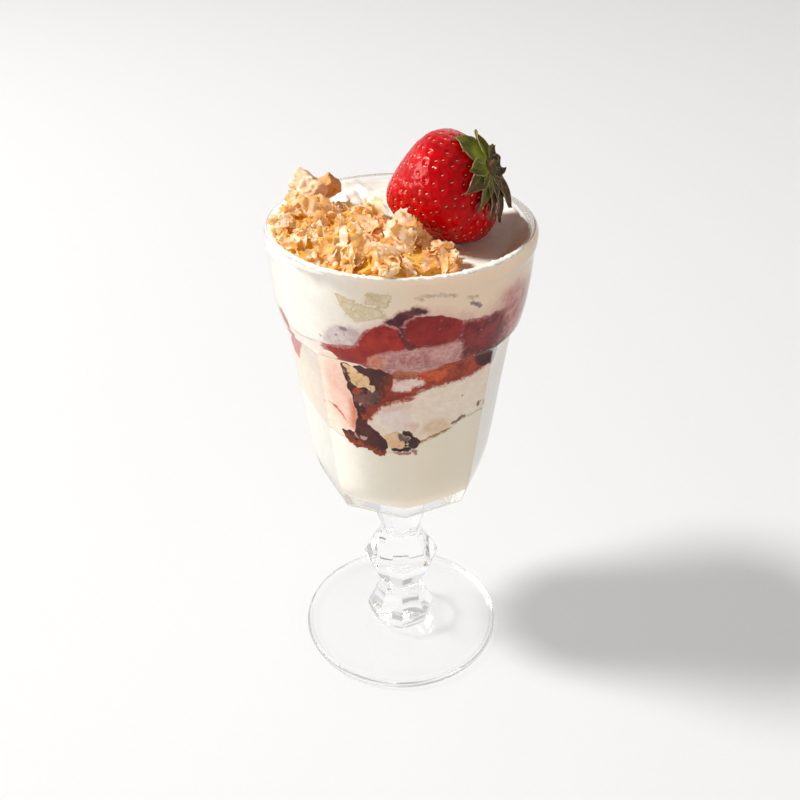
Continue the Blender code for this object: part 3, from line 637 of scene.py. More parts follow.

# %% [markdown]
# The spoon left a thin bead of cream along the rim's inner edge, thickest at the front right. Along the front
# it is also a painted highlight: it stands in for the bright line along the glass rim. It grows along the rim,
# one small ring after another, and its width is broken up so that it looks wiped on.
# %% The bead of cream on the rim, partly a painted highlight
BEAD_HALF_WIDTH = [
    (-180, 0.0), (-84, 0.0), (-70, 0.45), (-40, 0.8), (-10, 0.75), (12, 0.7), (24, 0.95), (45, 1.0),
    (58, 0.7), (70, 0.3), (80, 0.0),
]
BEAD_ENDS = (-82, 76)
BEAD_STEP = 0.8
BEAD_RADIUS, BEAD_HEIGHT = 38.9, 163.0
BEAD_SIDES = 12


def build_rim_bead():
    rings, middles = [], []
    for degrees in np.arange(*BEAD_ENDS, BEAD_STEP):
        broad, small = noise.noise((degrees * 0.16, 1.0, 2.0)), noise.noise((degrees * 0.7, 4.0, 2.0))
        broken = 1 + 0.35 * broad + 0.4 * small
        width = max(smooth_between(BEAD_HALF_WIDTH, degrees) * broken, 0.06)
        inset = 0.5 * noise.noise((degrees * 0.3, 8.0, 3.0))
        ring = []
        for step in range(BEAD_SIDES):
            turn = math.tau * step / BEAD_SIDES
            lump = 1 + 0.35 * noise.noise((math.cos(turn), math.sin(turn), degrees * 0.6))
            radius = BEAD_RADIUS + inset * width + 1.15 * width * lump * math.cos(turn)
            height = BEAD_HEIGHT + 0.55 * width * lump * math.sin(turn)
            ring.append(at_angle(math.radians(degrees), radius * MM, height * MM))
        rings.append(ring)
        middles.append(sum(ring, Vector()) / len(ring))
    return grow_rings("rim_bead", rings, middles[0], middles[-1])


rim_bead = build_rim_bead()

# %% [markdown]
# ## What lies against the wall
# The lobes of cooked fruit, the pale lens, the crumbs and stains are shapes on the wall, drawn here as
# outlines by angle and height. Each filling stores, at every point, how far it is from each outline. The
# material turns that distance into a patch, and can tear its edge as finely as it likes, so the mesh can
# stay modest.
# %% Outlines on the wall
ACROSS = 0.53  # mm along the wall for a degree round it
MARKS = {
    "left_lobe": [[(-38.2, 137.5), (-32.3, 137.9), (-27.7, 137.9), (-23.0, 138.9), (-19.9, 140.3),
        (-17.8, 143.0), (-15.8, 145.7), (-11.9, 147.2), (-7.5, 148.2), (-3.8, 147.9), (-0.7, 146.4),
        (1.7, 144.5), (4.0, 141.5), (1.2, 139.4), (-4.0, 139.4), (-8.7, 138.2), (-11.4, 138.3),
        (-13.8, 135.9), (-15.3, 131.2), (-22.9, 131.5), (-30.7, 132.9), (-33.4, 134.6), (-36.2, 136.3)]],
    "right_lobe": [[(1.7, 147.4), (3.5, 149.8), (6.5, 151.1), (11.9, 151.1), (18.9, 150.2), (26.6, 147.9),
        (28.5, 145.5), (27.6, 142.7), (24.4, 140.7), (16.8, 140.6), (8.9, 140.2), (4.7, 140.7),
        (3.6, 143.5), (1.7, 145.0)]],
    "between_lobes": [[(-0.7, 147.2), (1.7, 147.6), (2.1, 145.0), (4.0, 142.2), (9.4, 140.5), (4.1, 139.2),
        (1.4, 141.5), (-1.2, 144.5)]],
    "far_lobe": [[(28.8, 147.3), (35.8, 146.0), (42.3, 146.1), (46.5, 147.0), (52.2, 146.1), (66.1, 147.0),
        (80.0, 146.0), (104.0, 142.0), (104.0, 134.0), (84.0, 134.0), (70.7, 134.5), (53.3, 134.9),
        (40.5, 133.0), (29.6, 133.3), (29.1, 137.1), (29.1, 139.4), (25.0, 141.1), (28.8, 143.9)]],
    "purple_skin": [[(-7.4, 149.2), (-4.3, 150.3), (-1.3, 152.2), (3.4, 153.4), (7.5, 153.9), (11.2, 152.8),
        (10.0, 151.9), (5.2, 151.7), (2.3, 150.3), (0.5, 147.9), (-0.7, 146.9), (-3.8, 148.6)]],
    "pale_lens": [[(-12.9, 137.1), (-10.1, 137.8), (-6.1, 137.5), (-0.8, 138.7), (5.1, 139.4),
        (11.6, 139.5), (20.4, 139.7), (25.1, 140.6), (29.1, 139.5), (29.3, 136.5), (27.1, 133.9),
        (22.0, 132.8), (15.0, 130.4), (8.4, 130.2), (4.7, 132.8), (-1.5, 133.0), (-4.6, 129.8),
        (-10.1, 130.0), (-15.6, 132.5)]],
    "salmon": [[(-13.6, 136.7), (-9.4, 137.6), (-8.4, 134.6), (-10.1, 130.0), (-14.9, 131.9),
        (-15.8, 134.0)]],
    "syrup": [[(-4.5, 130.5), (1.6, 133.0), (7.9, 130.5), (11.6, 130.0), (18.9, 130.5), (24.7, 133.3),
        (30.2, 134.9), (45.0, 134.7), (57.0, 129.0), (54.8, 126.9), (46.6, 125.6), (39.3, 125.0),
        (27.6, 124.3), (16.6, 124.3), (9.1, 123.7), (6.8, 122.0), (4.7, 120.5), (-2.4, 119.7),
        (-6.9, 118.0), (-10.6, 116.8), (-13.1, 115.4), (-18.2, 111.2), (-20.7, 111.4), (-20.1, 115.5),
        (-13.7, 117.2), (-8.2, 119.2), (-7.2, 123.6)]],
    "cream_pocket": [[(-3.5, 127.2), (0.2, 128.0), (4.5, 127.7), (7.3, 128.3), (11.3, 126.8), (10.5, 125.5),
        (4.5, 124.7), (3.1, 123.8), (-3.5, 123.4), (-4.7, 125.3)]],
    "soft_lump": [[(-4.1, 129.1), (-0.6, 131.6), (2.9, 133.0), (5.7, 131.6), (8.1, 129.5), (4.4, 128.2),
        (1.6, 127.7), (-3.4, 127.8)]],
    "orange_piece": [[(8.0, 129.5), (11.6, 130.4), (18.9, 130.3), (25.6, 128.5), (25.6, 126.8),
        (19.4, 126.2), (13.4, 126.5), (10.3, 127.3)]],
    "plum_skin": [[(38.6, 134.2), (46.1, 134.6), (54.8, 134.5), (60.4, 135.5), (60.9, 129.1), (55.4, 126.1),
        (45.5, 127.4), (43.2, 129.9)]],
    "pink_cream": [[(-39.9, 130.2), (-34.1, 131.2), (-32.2, 126.7), (-31.5, 122.6), (-29.6, 120.1),
        (-27.8, 116.5), (-26.0, 112.9), (-27.9, 107.7), (-32.7, 106.0), (-36.4, 109.4), (-41.3, 112.1),
        (-44.1, 115.4), (-43.0, 121.8)]],
    "salmon_edge": [[(-30.2, 118.1), (-27.2, 115.6), (-26.0, 112.9), (-27.4, 107.8), (-30.8, 106.3),
        (-31.2, 109.1), (-29.4, 113.3)]],
    "red_thread": [[(-45.6, 114.6), (-43.0, 113.7), (-40.1, 112.9), (-36.2, 110.9), (-34.8, 109.2),
        (-33.2, 107.4), (-34.6, 108.2), (-37.1, 110.5), (-41.4, 112.5), (-45.6, 114.2)]],
    "pale_fold": [[(-10.7, 116.0), (-1.4, 117.3), (4.0, 116.0), (4.9, 111.9), (3.4, 108.1), (-4.7, 108.0),
        (-10.3, 110.1), (-12.5, 112.4)]],
    "pink_streaks": [[(-10.0, 116.2), (-2.4, 117.8), (3.4, 118.6), (5.0, 118.9), (3.5, 117.2),
        (-2.4, 116.4), (-8.6, 114.9)], [(3.0, 111.0), (9.0, 111.0), (8.2, 107.9), (4.8, 107.9)]],
    "tan_haze": [[(10.4, 107.1), (13.5, 109.7), (19.9, 110.8), (28.6, 109.5), (30.9, 107.1), (24.0, 106.2),
        (17.2, 105.7)]],
    "gold_trace": [[(8.6, 101.8), (14.1, 103.4), (20.8, 104.2), (25.1, 104.9), (30.4, 105.3), (31.1, 106.0),
        (25.0, 105.6), (19.8, 105.0), (14.0, 104.2), (9.0, 103.8)]],
    "grey_crumbs": [[(30.0, 107.0), (34.5, 107.2), (38.9, 108.2), (41.7, 108.9), (39.5, 109.8),
        (35.9, 109.0), (32.4, 108.3)], [(49.3, 112.2), (51.6, 113.4), (53.4, 112.9), (52.2, 112.5),
        (51.5, 110.6)], [(36.4, 117.6), (37.6, 118.4), (38.2, 117.8)], [(27.2, 126.2), (28.6, 127.2),
        (28.6, 126.2)]],
    "lilac": [[(-38.0, 139.6), (-35.6, 142.6), (-31.6, 145.0), (-24.1, 146.4), (-18.6, 145.5),
        (-18.4, 143.5), (-20.3, 140.7), (-27.5, 139.0), (-35.2, 138.6)]],
    "grey_specks": [[(-29.5, 145.2), (-25.9, 145.8), (-23.5, 145.2), (-24.7, 144.4), (-28.3, 144.4)],
        [(-34.9, 139.4), (-34.0, 140.2), (-33.6, 139.4)], [(-40.4, 140.0), (-39.5, 140.7), (-39.2, 139.9)],
        [(-30.1, 140.5), (-29.2, 141.3), (-28.9, 140.5)], [(-26.7, 143.1), (-25.9, 143.7), (-25.6, 143.0)],
        [(-31.3, 142.3), (-30.4, 142.9), (-30.2, 142.2)], [(29.4, 153.2), (33.6, 153.1), (36.8, 151.1),
        (35.4, 150.4), (32.0, 151.9)]],
    "clear_crumbs": [[(-27.9, 156.7), (-25.4, 156.2), (-21.6, 155.5), (-19.2, 155.1), (-20.0, 153.4),
        (-21.9, 151.2), (-23.2, 149.6), (-24.8, 151.8), (-26.4, 154.4)], [(-13.9, 159.0), (-11.0, 158.6),
        (-9.3, 158.3), (-10.0, 156.6), (-11.9, 154.6), (-14.4, 154.0), (-15.8, 154.8), (-14.4, 156.7)],
        [(-8.7, 158.8), (-4.1, 158.5), (-4.5, 156.4), (-5.4, 154.5), (-8.4, 153.9), (-10.1, 154.7),
        (-9.4, 157.1)], [(-20.0, 153.4), (-16.8, 154.4), (-13.2, 153.6), (-9.0, 153.4), (-6.7, 152.1),
        (-7.9, 150.6), (-11.6, 150.1), (-14.2, 149.5), (-18.7, 148.5), (-21.9, 149.1), (-22.6, 151.1)]],
    "crumb_line": [[(6.2, 157.5), (9.1, 158.3), (13.8, 158.0), (17.9, 158.0), (23.0, 157.2), (25.1, 156.4),
        (22.5, 156.2), (18.1, 157.1), (13.2, 157.2), (9.7, 157.3), (8.0, 156.7)], [(27.9, 155.3),
        (32.1, 155.0), (33.0, 154.4), (29.5, 154.3)]],
    "left_slivers": [[(-76.0, 140.6), (-69.4, 141.5), (-65.1, 137.8), (-66.9, 135.2), (-72.5, 138.0)],
        [(-68.0, 136.2), (-60.4, 134.9), (-70.0, 127.0), (-80.2, 121.4), (-79.5, 119.5), (-93.5, 119.2),
        (-99.8, 123.1)]],
    "cream_cover": [[(-39.5, 140.2), (-41.5, 136.5), (-38.0, 134.6), (-35.0, 131.5), (-34.0, 116.0),
        (-60.0, 114.0), (-150.0, 114.0), (-150.0, 143.0), (-60.0, 143.0)]],
    "pink_film": [[(47.0, 149.5), (52.0, 152.2), (60.0, 152.0), (74.0, 149.0), (106.0, 150.0),
        (106.0, 131.0), (78.0, 132.0), (66.0, 134.5), (59.0, 137.0), (57.0, 141.0), (54.0, 146.0)]],
    "low_arcs": [[(-4.4, 99.9), (0.6, 99.6), (4.0, 99.9), (4.9, 99.1), (2.3, 98.7), (-3.6, 98.9)],
        [(4.8, 100.6), (7.4, 100.7), (9.6, 99.5), (8.4, 98.3), (5.6, 98.8)]],
    "black_crumb": [[(2.2, 108.4), (4.1, 108.0), (5.9, 106.1), (8.0, 105.2), (11.9, 104.1), (10.7, 102.7),
        (8.2, 101.3), (5.7, 100.9), (3.9, 101.4), (2.6, 104.9)], [(-6.1, 100.9), (0.6, 101.3), (3.1, 102.0),
        (5.7, 101.0), (4.8, 100.3), (-1.1, 99.9), (-5.3, 100.0)]],
}


CORNER_KEPT, CORNER_CUT = 0.78, 0.22  # shares of a side at which its corners are cut off
FARTHEST_IN, FARTHEST_OUT = -6, 9  # mm past which the distance to an outline no longer matters


def rounded_outline(corners):
    """The outline in mm along the wall and up, with its corners cut off twice."""
    points = np.array([(angle * ACROSS, height) for angle, height in corners])
    for _ in range(2):
        after = np.roll(points, -1, axis=0)
        ends = [CORNER_KEPT * points + CORNER_CUT * after, CORNER_CUT * points + CORNER_KEPT * after]
        points = np.stack(ends, axis=1).reshape(-1, 2)
    return points


def distance_to(places, outline):
    """Signed distance in mm from each place on the wall to an outline: below 0 is inside."""
    nearest = np.full(len(places), 1e9)
    inside = np.zeros(len(places), bool)
    for start, end in zip(outline, np.roll(outline, -1, axis=0)):
        side = end - start
        along = np.clip(((places - start) @ side) / max(side @ side, 1e-12), 0, 1)
        nearest = np.minimum(nearest, np.hypot(*(places - start - along[:, None] * side).T))
        crosses = (start[1] > places[:, 1]) != (end[1] > places[:, 1])
        height = np.where(end[1] == start[1], 1e-9, end[1] - start[1])
        inside ^= crosses & (places[:, 0] < (places[:, 1] - start[1]) / height * side[0] + start[0])
    return np.where(inside, -nearest, nearest)


def wall_places(piece):
    """Each vertex as mm along the wall and up, nudged about so that outlines wander as soft food does."""
    places = []
    for vertex in piece.data.vertices:
        across = math.degrees(math.atan2(vertex.co.x, -vertex.co.y)) * ACROSS
        height = vertex.co.z / MM
        broad = noise.noise_vector((across * 0.45, height * 0.45, 3.0))
        small = noise.noise_vector((across * 1.5, height * 1.5, 9.0))
        places.append((across + 0.5 * broad.x + 0.45 * small.x, height + 0.5 * broad.y + 0.45 * small.y))
    return np.array(places)


def trace_marks(piece, names):
    """Stores on the piece how far each point is from each of these marks, in mm."""
    places = wall_places(piece)
    for name in names:
        away = np.min([distance_to(places, rounded_outline(corners)) for corners in MARKS[name]], axis=0)
        layer = piece.data.attributes.new(name, "FLOAT", "POINT")
        layer.data.foreach_set("value", np.clip(away, FARTHEST_IN, FARTHEST_OUT).astype(np.float32))


# %% [markdown]
# ## Finishes of the fillings
# Whipped cream is a fat foam: white with a warm shade, and light wanders a millimetre or so inside it. Where
# cooked fruit touches it, the juice has crept in and stained it pink. Patches are laid over one another from
# a list: the mark, its two tones, how soft its edge is and how far the edge is torn, in mm. At the front right,
# away from the key light, the cream is painted warmer and darker: painted shade.
# %% A finish with patches
def painted_shade_mask(finish, place, wall):
    """Where painted shade lies on the cream: in front, more to the right, and from this distance to the axis
    outwards.
    """
    parts = add(finish, "SeparateXYZ", Vector=place)
    to_right = ramp(finish, parts.outputs["X"], -0.024, 0.004)
    level = add(finish, "VectorMath", {"operation": "MULTIPLY"}, _0=place, _1=(1.0, 1.0, 0.0)).outputs[0]
    out_from_axis = add(finish, "VectorMath", {"operation": "LENGTH"}, _0=level).outputs["Value"]
    at_wall = ramp(finish, out_from_axis, wall - 1 * MM, wall)
    in_front = ramp(finish, parts.outputs["Y"], 0.004, -0.008)
    return math_node(finish, "MULTIPLY", math_node(finish, "MULTIPLY", to_right, at_wall), in_front)


def patched_finish(name, tones, patches, rims, roughness, subsurface, specks_and_glints=None, shade_tint=None):
    """Patches are (mark, light, dark, soft edge, torn edge, strength), rims (mark, tone, width, strength)."""
    finish, out = new_finish(name)
    place = own_place(finish)
    cloud = clouds(finish, place, 210.0, 5.0, 0.7)
    fine = clouds(finish, place, 620.0, 6.0, 0.78)
    mottle = ramp(finish, math_node(finish, "ADD", cloud, fine), 0.84, 1.16)
    torn = math_node(finish, "MULTIPLY_ADD", fine, 2.6, -1.3)

    def away_from(mark, tear):
        return math_node(finish, "MULTIPLY_ADD", torn, tear, stored(finish, mark))

    colour = blend(finish, mottle, *tones)
    # The cream's shaded front right is painted warmer and darker: painted shade.
    if shade_tint:
        colour = blend(finish, painted_shade_mask(finish, place, shade_tint[1]), colour, shade_tint[0])
    for mark, light, dark, soft, tear, strength in patches:
        mask = ramp(finish, away_from(mark, tear), soft, -soft * 0.4, strength)
        colour = blend(finish, mask, colour, blend(finish, mottle, light, dark))
    for mark, tone, width, strength in rims:
        mask = ramp(finish, math_node(finish, "ABSOLUTE", away_from(mark, 1.0)), width, width * 0.3, strength)
        colour = blend(finish, math_node(finish, "MULTIPLY", mask, mottle), colour, tone)
    # Small pale specks over the colour; on the fruit they are painted glints.
    if specks_and_glints:
        tone, scale, size = specks_and_glints
        spots = add(finish, "TexVoronoi", Vector=place, Scale=scale).outputs["Distance"]
        shrunk = math_node(finish, "MULTIPLY_ADD", cloud, -0.5, spots)
        colour = blend(finish, ramp(finish, shrunk, size - 0.25, size - 0.3, 0.75), colour, tone)
    bump = add(finish, "Bump", Strength=0.35, Distance=0.25 * MM, Height=fine)
    body = add(finish, "BsdfPrincipled", Base_Color=colour, Roughness=roughness, IOR=1.45,
               Specular_IOR_Level=0.03, Subsurface_Weight=subsurface, Subsurface_Radius=(1.0, 0.7, 0.45),
               Subsurface_Scale=1.2 * MM, Normal=bump.outputs[0])
    return complete(finish, out, body)


# %% The creams and the fruit
CREAM = ("#FCF8F0", "#F8F1E5")
PINKISH_CREAM = ("#FBEAD8", "#F1DBC5")
CREAM_MARKS = [
    ("left_lobe", "#EEC6BC", "#E5AFA6", 2.2, 1.6, 0.7), ("right_lobe", "#E6B8AC", "#D69C94", 3.8, 2.4, 0.8),
    ("far_lobe", "#E2B3A8", "#D08C88", 5.5, 3.2, 0.8), ("pink_film", "#E8CCBC", "#D2A096", 5.0, 3.4, 0.75),
    ("purple_skin", "#A9525C", "#8F4450", 1.3, 1.2, 0.7), ("syrup", "#E5B3A0", "#D9987F", 1.2, 1.2, 0.75),
    ("plum_skin", "#4E2629", "#37171B", 0.5, 0.8, 0.95), ("left_lobe", "#B5362B", "#94221D", 0.3, 1.0, 1.0),
    ("right_lobe", "#A22E29", "#801E1E", 0.3, 1.0, 1.0),
    ("between_lobes", "#7A2629", "#571A1F", 0.3, 0.8, 0.9),
    ("far_lobe", "#A5322C", "#742028", 0.7, 1.6, 0.95), ("pink_film", "#DCA598", "#B85F58", 2.6, 2.4, 0.85),
    ("purple_skin", "#6E3038", "#47202A", 0.4, 1.0, 0.9), ("lilac", "#E3D2CE", "#C5AAB0", 0.9, 1.6, 0.85),
    ("grey_specks", "#9C8086", "#6E5460", 0.25, 0.9, 0.85),
    ("clear_crumbs", "#D2B57E", "#EADCC0", 0.5, 1.6, 0.85),
    ("crumb_line", "#B49478", "#DCC8B0", 0.5, 1.8, 0.75),
    ("left_slivers", "#D46F62", "#B94A45", 0.7, 1.0, 0.95),
]
MIDDLE_MARKS = [
    ("pink_cream", "#F8D0C0", "#F2B09A", 3.2, 2.6, 0.7),
    ("salmon_edge", "#E8916E", "#D2643E", 1.6, 2.0, 0.9), ("syrup", "#EDB9A5", "#E29C83", 1.6, 1.6, 0.75),
    ("red_thread", "#C4482F", "#B33A24", 0.35, 0.8, 0.95),
    ("pale_fold", "#F5E6DE", "#EACFC6", 0.8, 1.4, 0.8),
    ("pink_streaks", "#EBC4B6", "#E0AE9F", 0.9, 1.8, 0.75),
    ("tan_haze", "#E6C69C", "#D8B184", 1.4, 2.2, 0.6), ("syrup", "#AA4022", "#7E2615", 0.8, 2.4, 1.0),
    ("cream_pocket", "#F6E2D8", "#E6B4A4", 0.6, 1.8, 0.97),
    ("left_slivers", "#D5604B", "#BE4636", 0.5, 1.0, 0.95),
    ("gold_trace", "#CC9440", "#8F5A22", 0.2, 0.9, 0.95),
    ("grey_crumbs", "#8A6C4A", "#4E3C30", 0.2, 1.2, 0.9),
    ("black_crumb", "#4A2824", "#2C1818", 0.25, 0.9, 1.0),
    ("plum_skin", "#4E2629", "#37171B", 0.4, 0.9, 0.95),
]
LOWER_MARKS = [
    ("gold_trace", "#CC9440", "#8F5A22", 0.2, 0.9, 0.95), ("low_arcs", "#B9796A", "#9C5A49", 0.3, 0.9, 0.9),
    ("black_crumb", "#4A2824", "#2C1818", 0.25, 0.9, 1.0),
    ("grey_crumbs", "#8A6C4A", "#4E3C30", 0.2, 1.2, 0.9),
]
FRUIT = ("#B0706A", "#C48B84")
FRUIT_MARKS = [
    ("left_lobe", "#B5362B", "#8E201C", 0.5, 1.6, 1.0),
    ("right_lobe", "#A22E29", "#7C1D1E", 0.45, 1.4, 1.0), ("far_lobe", "#982C2A", "#5E1A20", 0.8, 2.4, 1.0),
    ("between_lobes", "#7A2629", "#571A1F", 0.3, 0.8, 0.95),
    ("pink_film", "#D89A8C", "#B2524E", 2.6, 2.4, 0.85), ("syrup", "#BC4A24", "#7A2214", 0.6, 2.4, 1.0),
    ("purple_skin", "#6E3038", "#47202A", 0.3, 1.0, 1.0),
    ("plum_skin", "#5E2426", "#3A1618", 0.6, 1.6, 1.0), ("pale_lens", "#D8A69C", "#A86462", 1.1, 2.8, 0.92),
    ("salmon", "#E08E70", "#C25F48", 1.0, 1.8, 0.9), ("soft_lump", "#C87A5C", "#A04E38", 0.25, 0.8, 0.95),
    ("orange_piece", "#DE6226", "#B23C12", 0.4, 1.4, 1.0),
    ("cream_pocket", "#F6E2D8", "#E6B4A4", 0.6, 1.8, 0.97),
    ("cream_cover", "#FBF2E8", "#F4E0D6", 0.7, 1.4, 1.0),
    ("left_slivers", "#D0584A", "#B23C34", 0.4, 1.0, 0.95),
]
LENS_RIM = ("pale_lens", "#F0D8D0", 0.16, 0.55)
LOBE_RIMS = [("right_lobe", "#5A1A1C", 0.16, 0.4), ("left_lobe", "#DDA59A", 0.12, 0.5)]
CRUMB_RIM = ("clear_crumbs", "#9A8058", 0.16, 0.6)
SYRUP_RIM = ("syrup", "#D98A6C", 0.16, 0.7)
# Painted shade for the creams' front right, away from the key light: its tone, and where it begins.
LOW_PAINTED_SHADE, TOP_PAINTED_SHADE = ("#F6EAD4", 0.0), ("#F5DCC0", 0.0335)  # tone and how far from the axis it begins
# Painted glints: small pale highlight specks on the fruit.
PAINTED_GLINTS = ("#F0DAD2", 620.0, 0.07)
for piece, tones, marks, rims, specks_and_glints, shade_tint, node_name, slot_name, finish_name in (
    (lower_cream, CREAM, LOWER_MARKS, [], None, LOW_PAINTED_SHADE, "cream_lower", "cream", "whipped cream, lowest"),
    (middle_cream, PINKISH_CREAM, MIDDLE_MARKS, [SYRUP_RIM], None, None, "cream_middle", "cream",
     "whipped cream, stained with juice"),
    (fruit_band, FRUIT, FRUIT_MARKS, [LENS_RIM] + LOBE_RIMS, PAINTED_GLINTS, None, "fruit_layer", "fruit",
     "strawberries cooked in syrup"),
    (top_cream, CREAM, CREAM_MARKS, LOBE_RIMS + [CRUMB_RIM], None, TOP_PAINTED_SHADE, "cream_top", "cream",
     "whipped cream, spread"),
):
    trace_marks(piece, sorted({mark[0] for mark in marks + rims}))
    inner_glow = 0.0 if slot_name == "fruit" else 0.25
    finish_piece(piece, patched_finish(finish_name, tones, marks, rims, 0.5, inner_glow, specks_and_glints, shade_tint))
    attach(piece, "root")
    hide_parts(node_name)

finish_piece(rim_bead, patched_finish("whipped cream on the rim, partly a painted highlight", CREAM, [], [], 0.45, 0.25))
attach(rim_bead, "root")

# %% [markdown]
# ## Sauce and biscuit against the glass
# These have crisp edges, so they are pieces of their own. A fine grid is laid on the wall, the faces
# outside the outline are deleted, the ragged border is pulled onto it, and a Solidify modifier gives the
# piece its depth.
# %% Cut a piece to an outline on the wall
WALL_OUTLINES = {
    "dark_sauce": [(-33.5, 131.3), (-25.5, 130.8), (-19.0, 131.0), (-13.3, 131.0), (-5.7, 130.6),
        (-4.3, 128.9), (-3.0, 127.7), (-3.7, 124.8), (-6.7, 121.8), (-5.3, 120.5), (-10.7, 117.6),
        (-14.6, 115.8), (-17.0, 114.5), (-19.6, 112.8), (-19.5, 110.8), (-19.3, 109.3), (-15.4, 107.3),
        (-11.5, 105.7), (-8.4, 103.4), (-7.7, 101.0), (-9.6, 97.2), (-14.8, 97.2), (-19.7, 99.2),
        (-26.7, 99.3), (-29.6, 98.6), (-35.7, 101.0), (-38.4, 103.5), (-39.5, 104.9), (-32.9, 105.0),
        (-29.3, 105.0), (-28.1, 106.7), (-27.0, 109.8), (-26.0, 112.9), (-27.2, 115.6), (-28.8, 117.8),
        (-28.8, 120.0), (-30.4, 121.6), (-31.5, 125.0), (-33.0, 128.0)],
    "upper_biscuit": [(-32.9, 130.9), (-29.1, 130.8), (-26.1, 130.7), (-24.9, 129.1), (-20.6, 128.2),
        (-17.1, 127.5), (-16.5, 126.0), (-18.1, 124.9), (-13.8, 124.6), (-14.4, 122.2), (-16.9, 122.2),
        (-19.8, 123.3), (-22.9, 122.4), (-25.2, 122.6), (-26.6, 123.3), (-29.2, 124.3), (-30.3, 126.5),
        (-31.6, 128.0)],
    "lower_biscuit": [(-10.3, 105.8), (-5.8, 107.0), (-1.0, 107.8), (1.7, 107.5), (4.3, 105.2),
        (3.6, 102.6), (2.6, 102.0), (0.6, 101.2), (-4.4, 100.9), (-7.7, 102.0), (-9.2, 103.9)],
}
MARKS["thin_sauce"] = [[(-41.0, 100.0), (-37.6, 100.2), (-29.6, 97.0), (-19.7, 97.2), (-14.8, 95.2),
    (-7.6, 95.9), (-8.3, 98.8), (-16.2, 99.3), (-23.0, 100.1), (-30.1, 100.6), (-35.3, 102.3),
    (-40.0, 103.6)], [(-19.3, 115.2), (-13.1, 115.4), (-6.9, 117.0), (-1.4, 119.7), (-1.0, 130.0),
    (-6.2, 129.0), (-7.0, 124.6), (-9.8, 121.9), (-12.4, 119.0), (-17.1, 116.1), (-21.1, 113.6),
    (-20.8, 110.3), (-18.0, 109.0)]]
MARKS["grey_sauce"] = [[(-26.5, 119.6), (-20.0, 121.3), (-14.0, 122.5), (-11.1, 121.4), (-12.1, 118.4),
    (-16.8, 117.0), (-22.3, 116.3), (-25.3, 117.4)]]
MARKS["red_crumb"] = [[(-27.7, 121.8), (-23.7, 122.3), (-21.9, 121.6), (-24.0, 120.4), (-26.9, 119.8),
    (-28.3, 120.5)]]
MARKS["sauce_glint"] = [[(-26.2, 103.9), (-21.4, 103.7), (-22.4, 102.3), (-25.9, 102.5)], [(-24.4, 116.5),
    (-22.8, 117.1), (-23.2, 115.5)], [(-30.0, 106.4), (-29.2, 104.0), (-26.6, 102.4), (-27.2, 102.1),
    (-29.8, 103.4), (-30.4, 105.6)]]
MARKS["toasted_edge"] = [[(-33.5, 131.5), (-30.8, 129.6), (-28.4, 128.2), (-28.4, 125.8), (-27.2, 123.8),
    (-24.6, 122.2), (-25.0, 120.5), (-28.4, 122.6), (-29.8, 124.2), (-30.4, 126.4), (-32.4, 129.0)]]
MARKS["grey_chip"] = [[(-0.4, 107.6), (1.9, 107.6), (4.9, 104.4), (0.4, 103.8)]]


def torn_outline(outline, step=0.22):
    """The outline cut into short steps and torn: broad bites with finer and finer nicks on them."""
    points = []
    for start, end in zip(outline, np.roll(outline, -1, axis=0)):
        count = max(1, round(float(np.hypot(*(end - start))) / step))
        points += [start + (end - start) * k / count for k in range(count)]
    torn = []
    for x, y in points:
        shift = Vector((0, 0, 0))
        for size, reach in ((0.5, 0.55), (1.2, 0.4), (2.8, 0.22)):
            shift += reach * noise.noise_vector((x * size, y * size, 6.0 + size))
        torn.append((x + shift.x, y + shift.y))
    return np.array(torn)


def build_wall_piece(name, depth, cell, bite):
    """A slab with this outline against the wall. Sizes are in mm."""
    outline = torn_outline(rounded_outline(WALL_OUTLINES[name]))
    low, high = outline.min(0) - cell, outline.max(0) + cell
    select_only()
    columns, rows = (int(side / cell) + 2 for side in high - low)
    bpy.ops.mesh.primitive_grid_add(x_subdivisions=columns, y_subdivisions=rows, size=1.0)
    piece = bpy.context.object
    piece.name = piece.data.name = name
    for vertex in piece.data.vertices:
        vertex.co.x = (low[0] + high[0]) / 2 + vertex.co.x * (high[0] - low[0])
        vertex.co.y = (low[1] + high[1]) / 2 + vertex.co.y * (high[1] - low[1])
    bpy.ops.object.mode_set(mode="EDIT")
    mesh = bmesh.from_edit_mesh(piece.data)
    centres = np.array([face.calc_center_median().to_2d() for face in mesh.faces])
    outside = distance_to(centres, outline) > 0
    for face, out in zip(mesh.faces, outside):
        face.select = bool(out)
    bmesh.update_edit_mesh(piece.data)
    bpy.ops.mesh.delete(type="FACE")
    mesh = bmesh.from_edit_mesh(piece.data)
    for vertex in mesh.verts:
        if vertex.is_boundary:
            spot = np.array(vertex.co.to_2d())
            side = np.roll(outline, -1, axis=0) - outline
            along = np.clip(((spot - outline) * side).sum(1) / (side * side).sum(1), 0, 1)
            near = outline + along[:, None] * side
            vertex.co.x, vertex.co.y = near[np.argmin(np.hypot(*(near - spot).T))]
    for vertex in mesh.verts:
        angle, height = math.radians(vertex.co.x / ACROSS), vertex.co.y
        vertex.co = at_angle(angle, (wall_radius(height) + bite) * MM, height * MM)
    bmesh.update_edit_mesh(piece.data)
    bpy.ops.mesh.select_all(action="SELECT")
    bpy.ops.mesh.remove_doubles(threshold=0.02 * MM)
    bpy.ops.mesh.normals_make_consistent(inside=False)
    bpy.ops.object.mode_set(mode="OBJECT")
    if sum(polygon.normal.dot(polygon.center) for polygon in piece.data.polygons[:50]) < 0:
        piece.data.flip_normals()
    with_modifier(piece, "SOLIDIFY", thickness=depth * MM, offset=-1.0)
    return piece
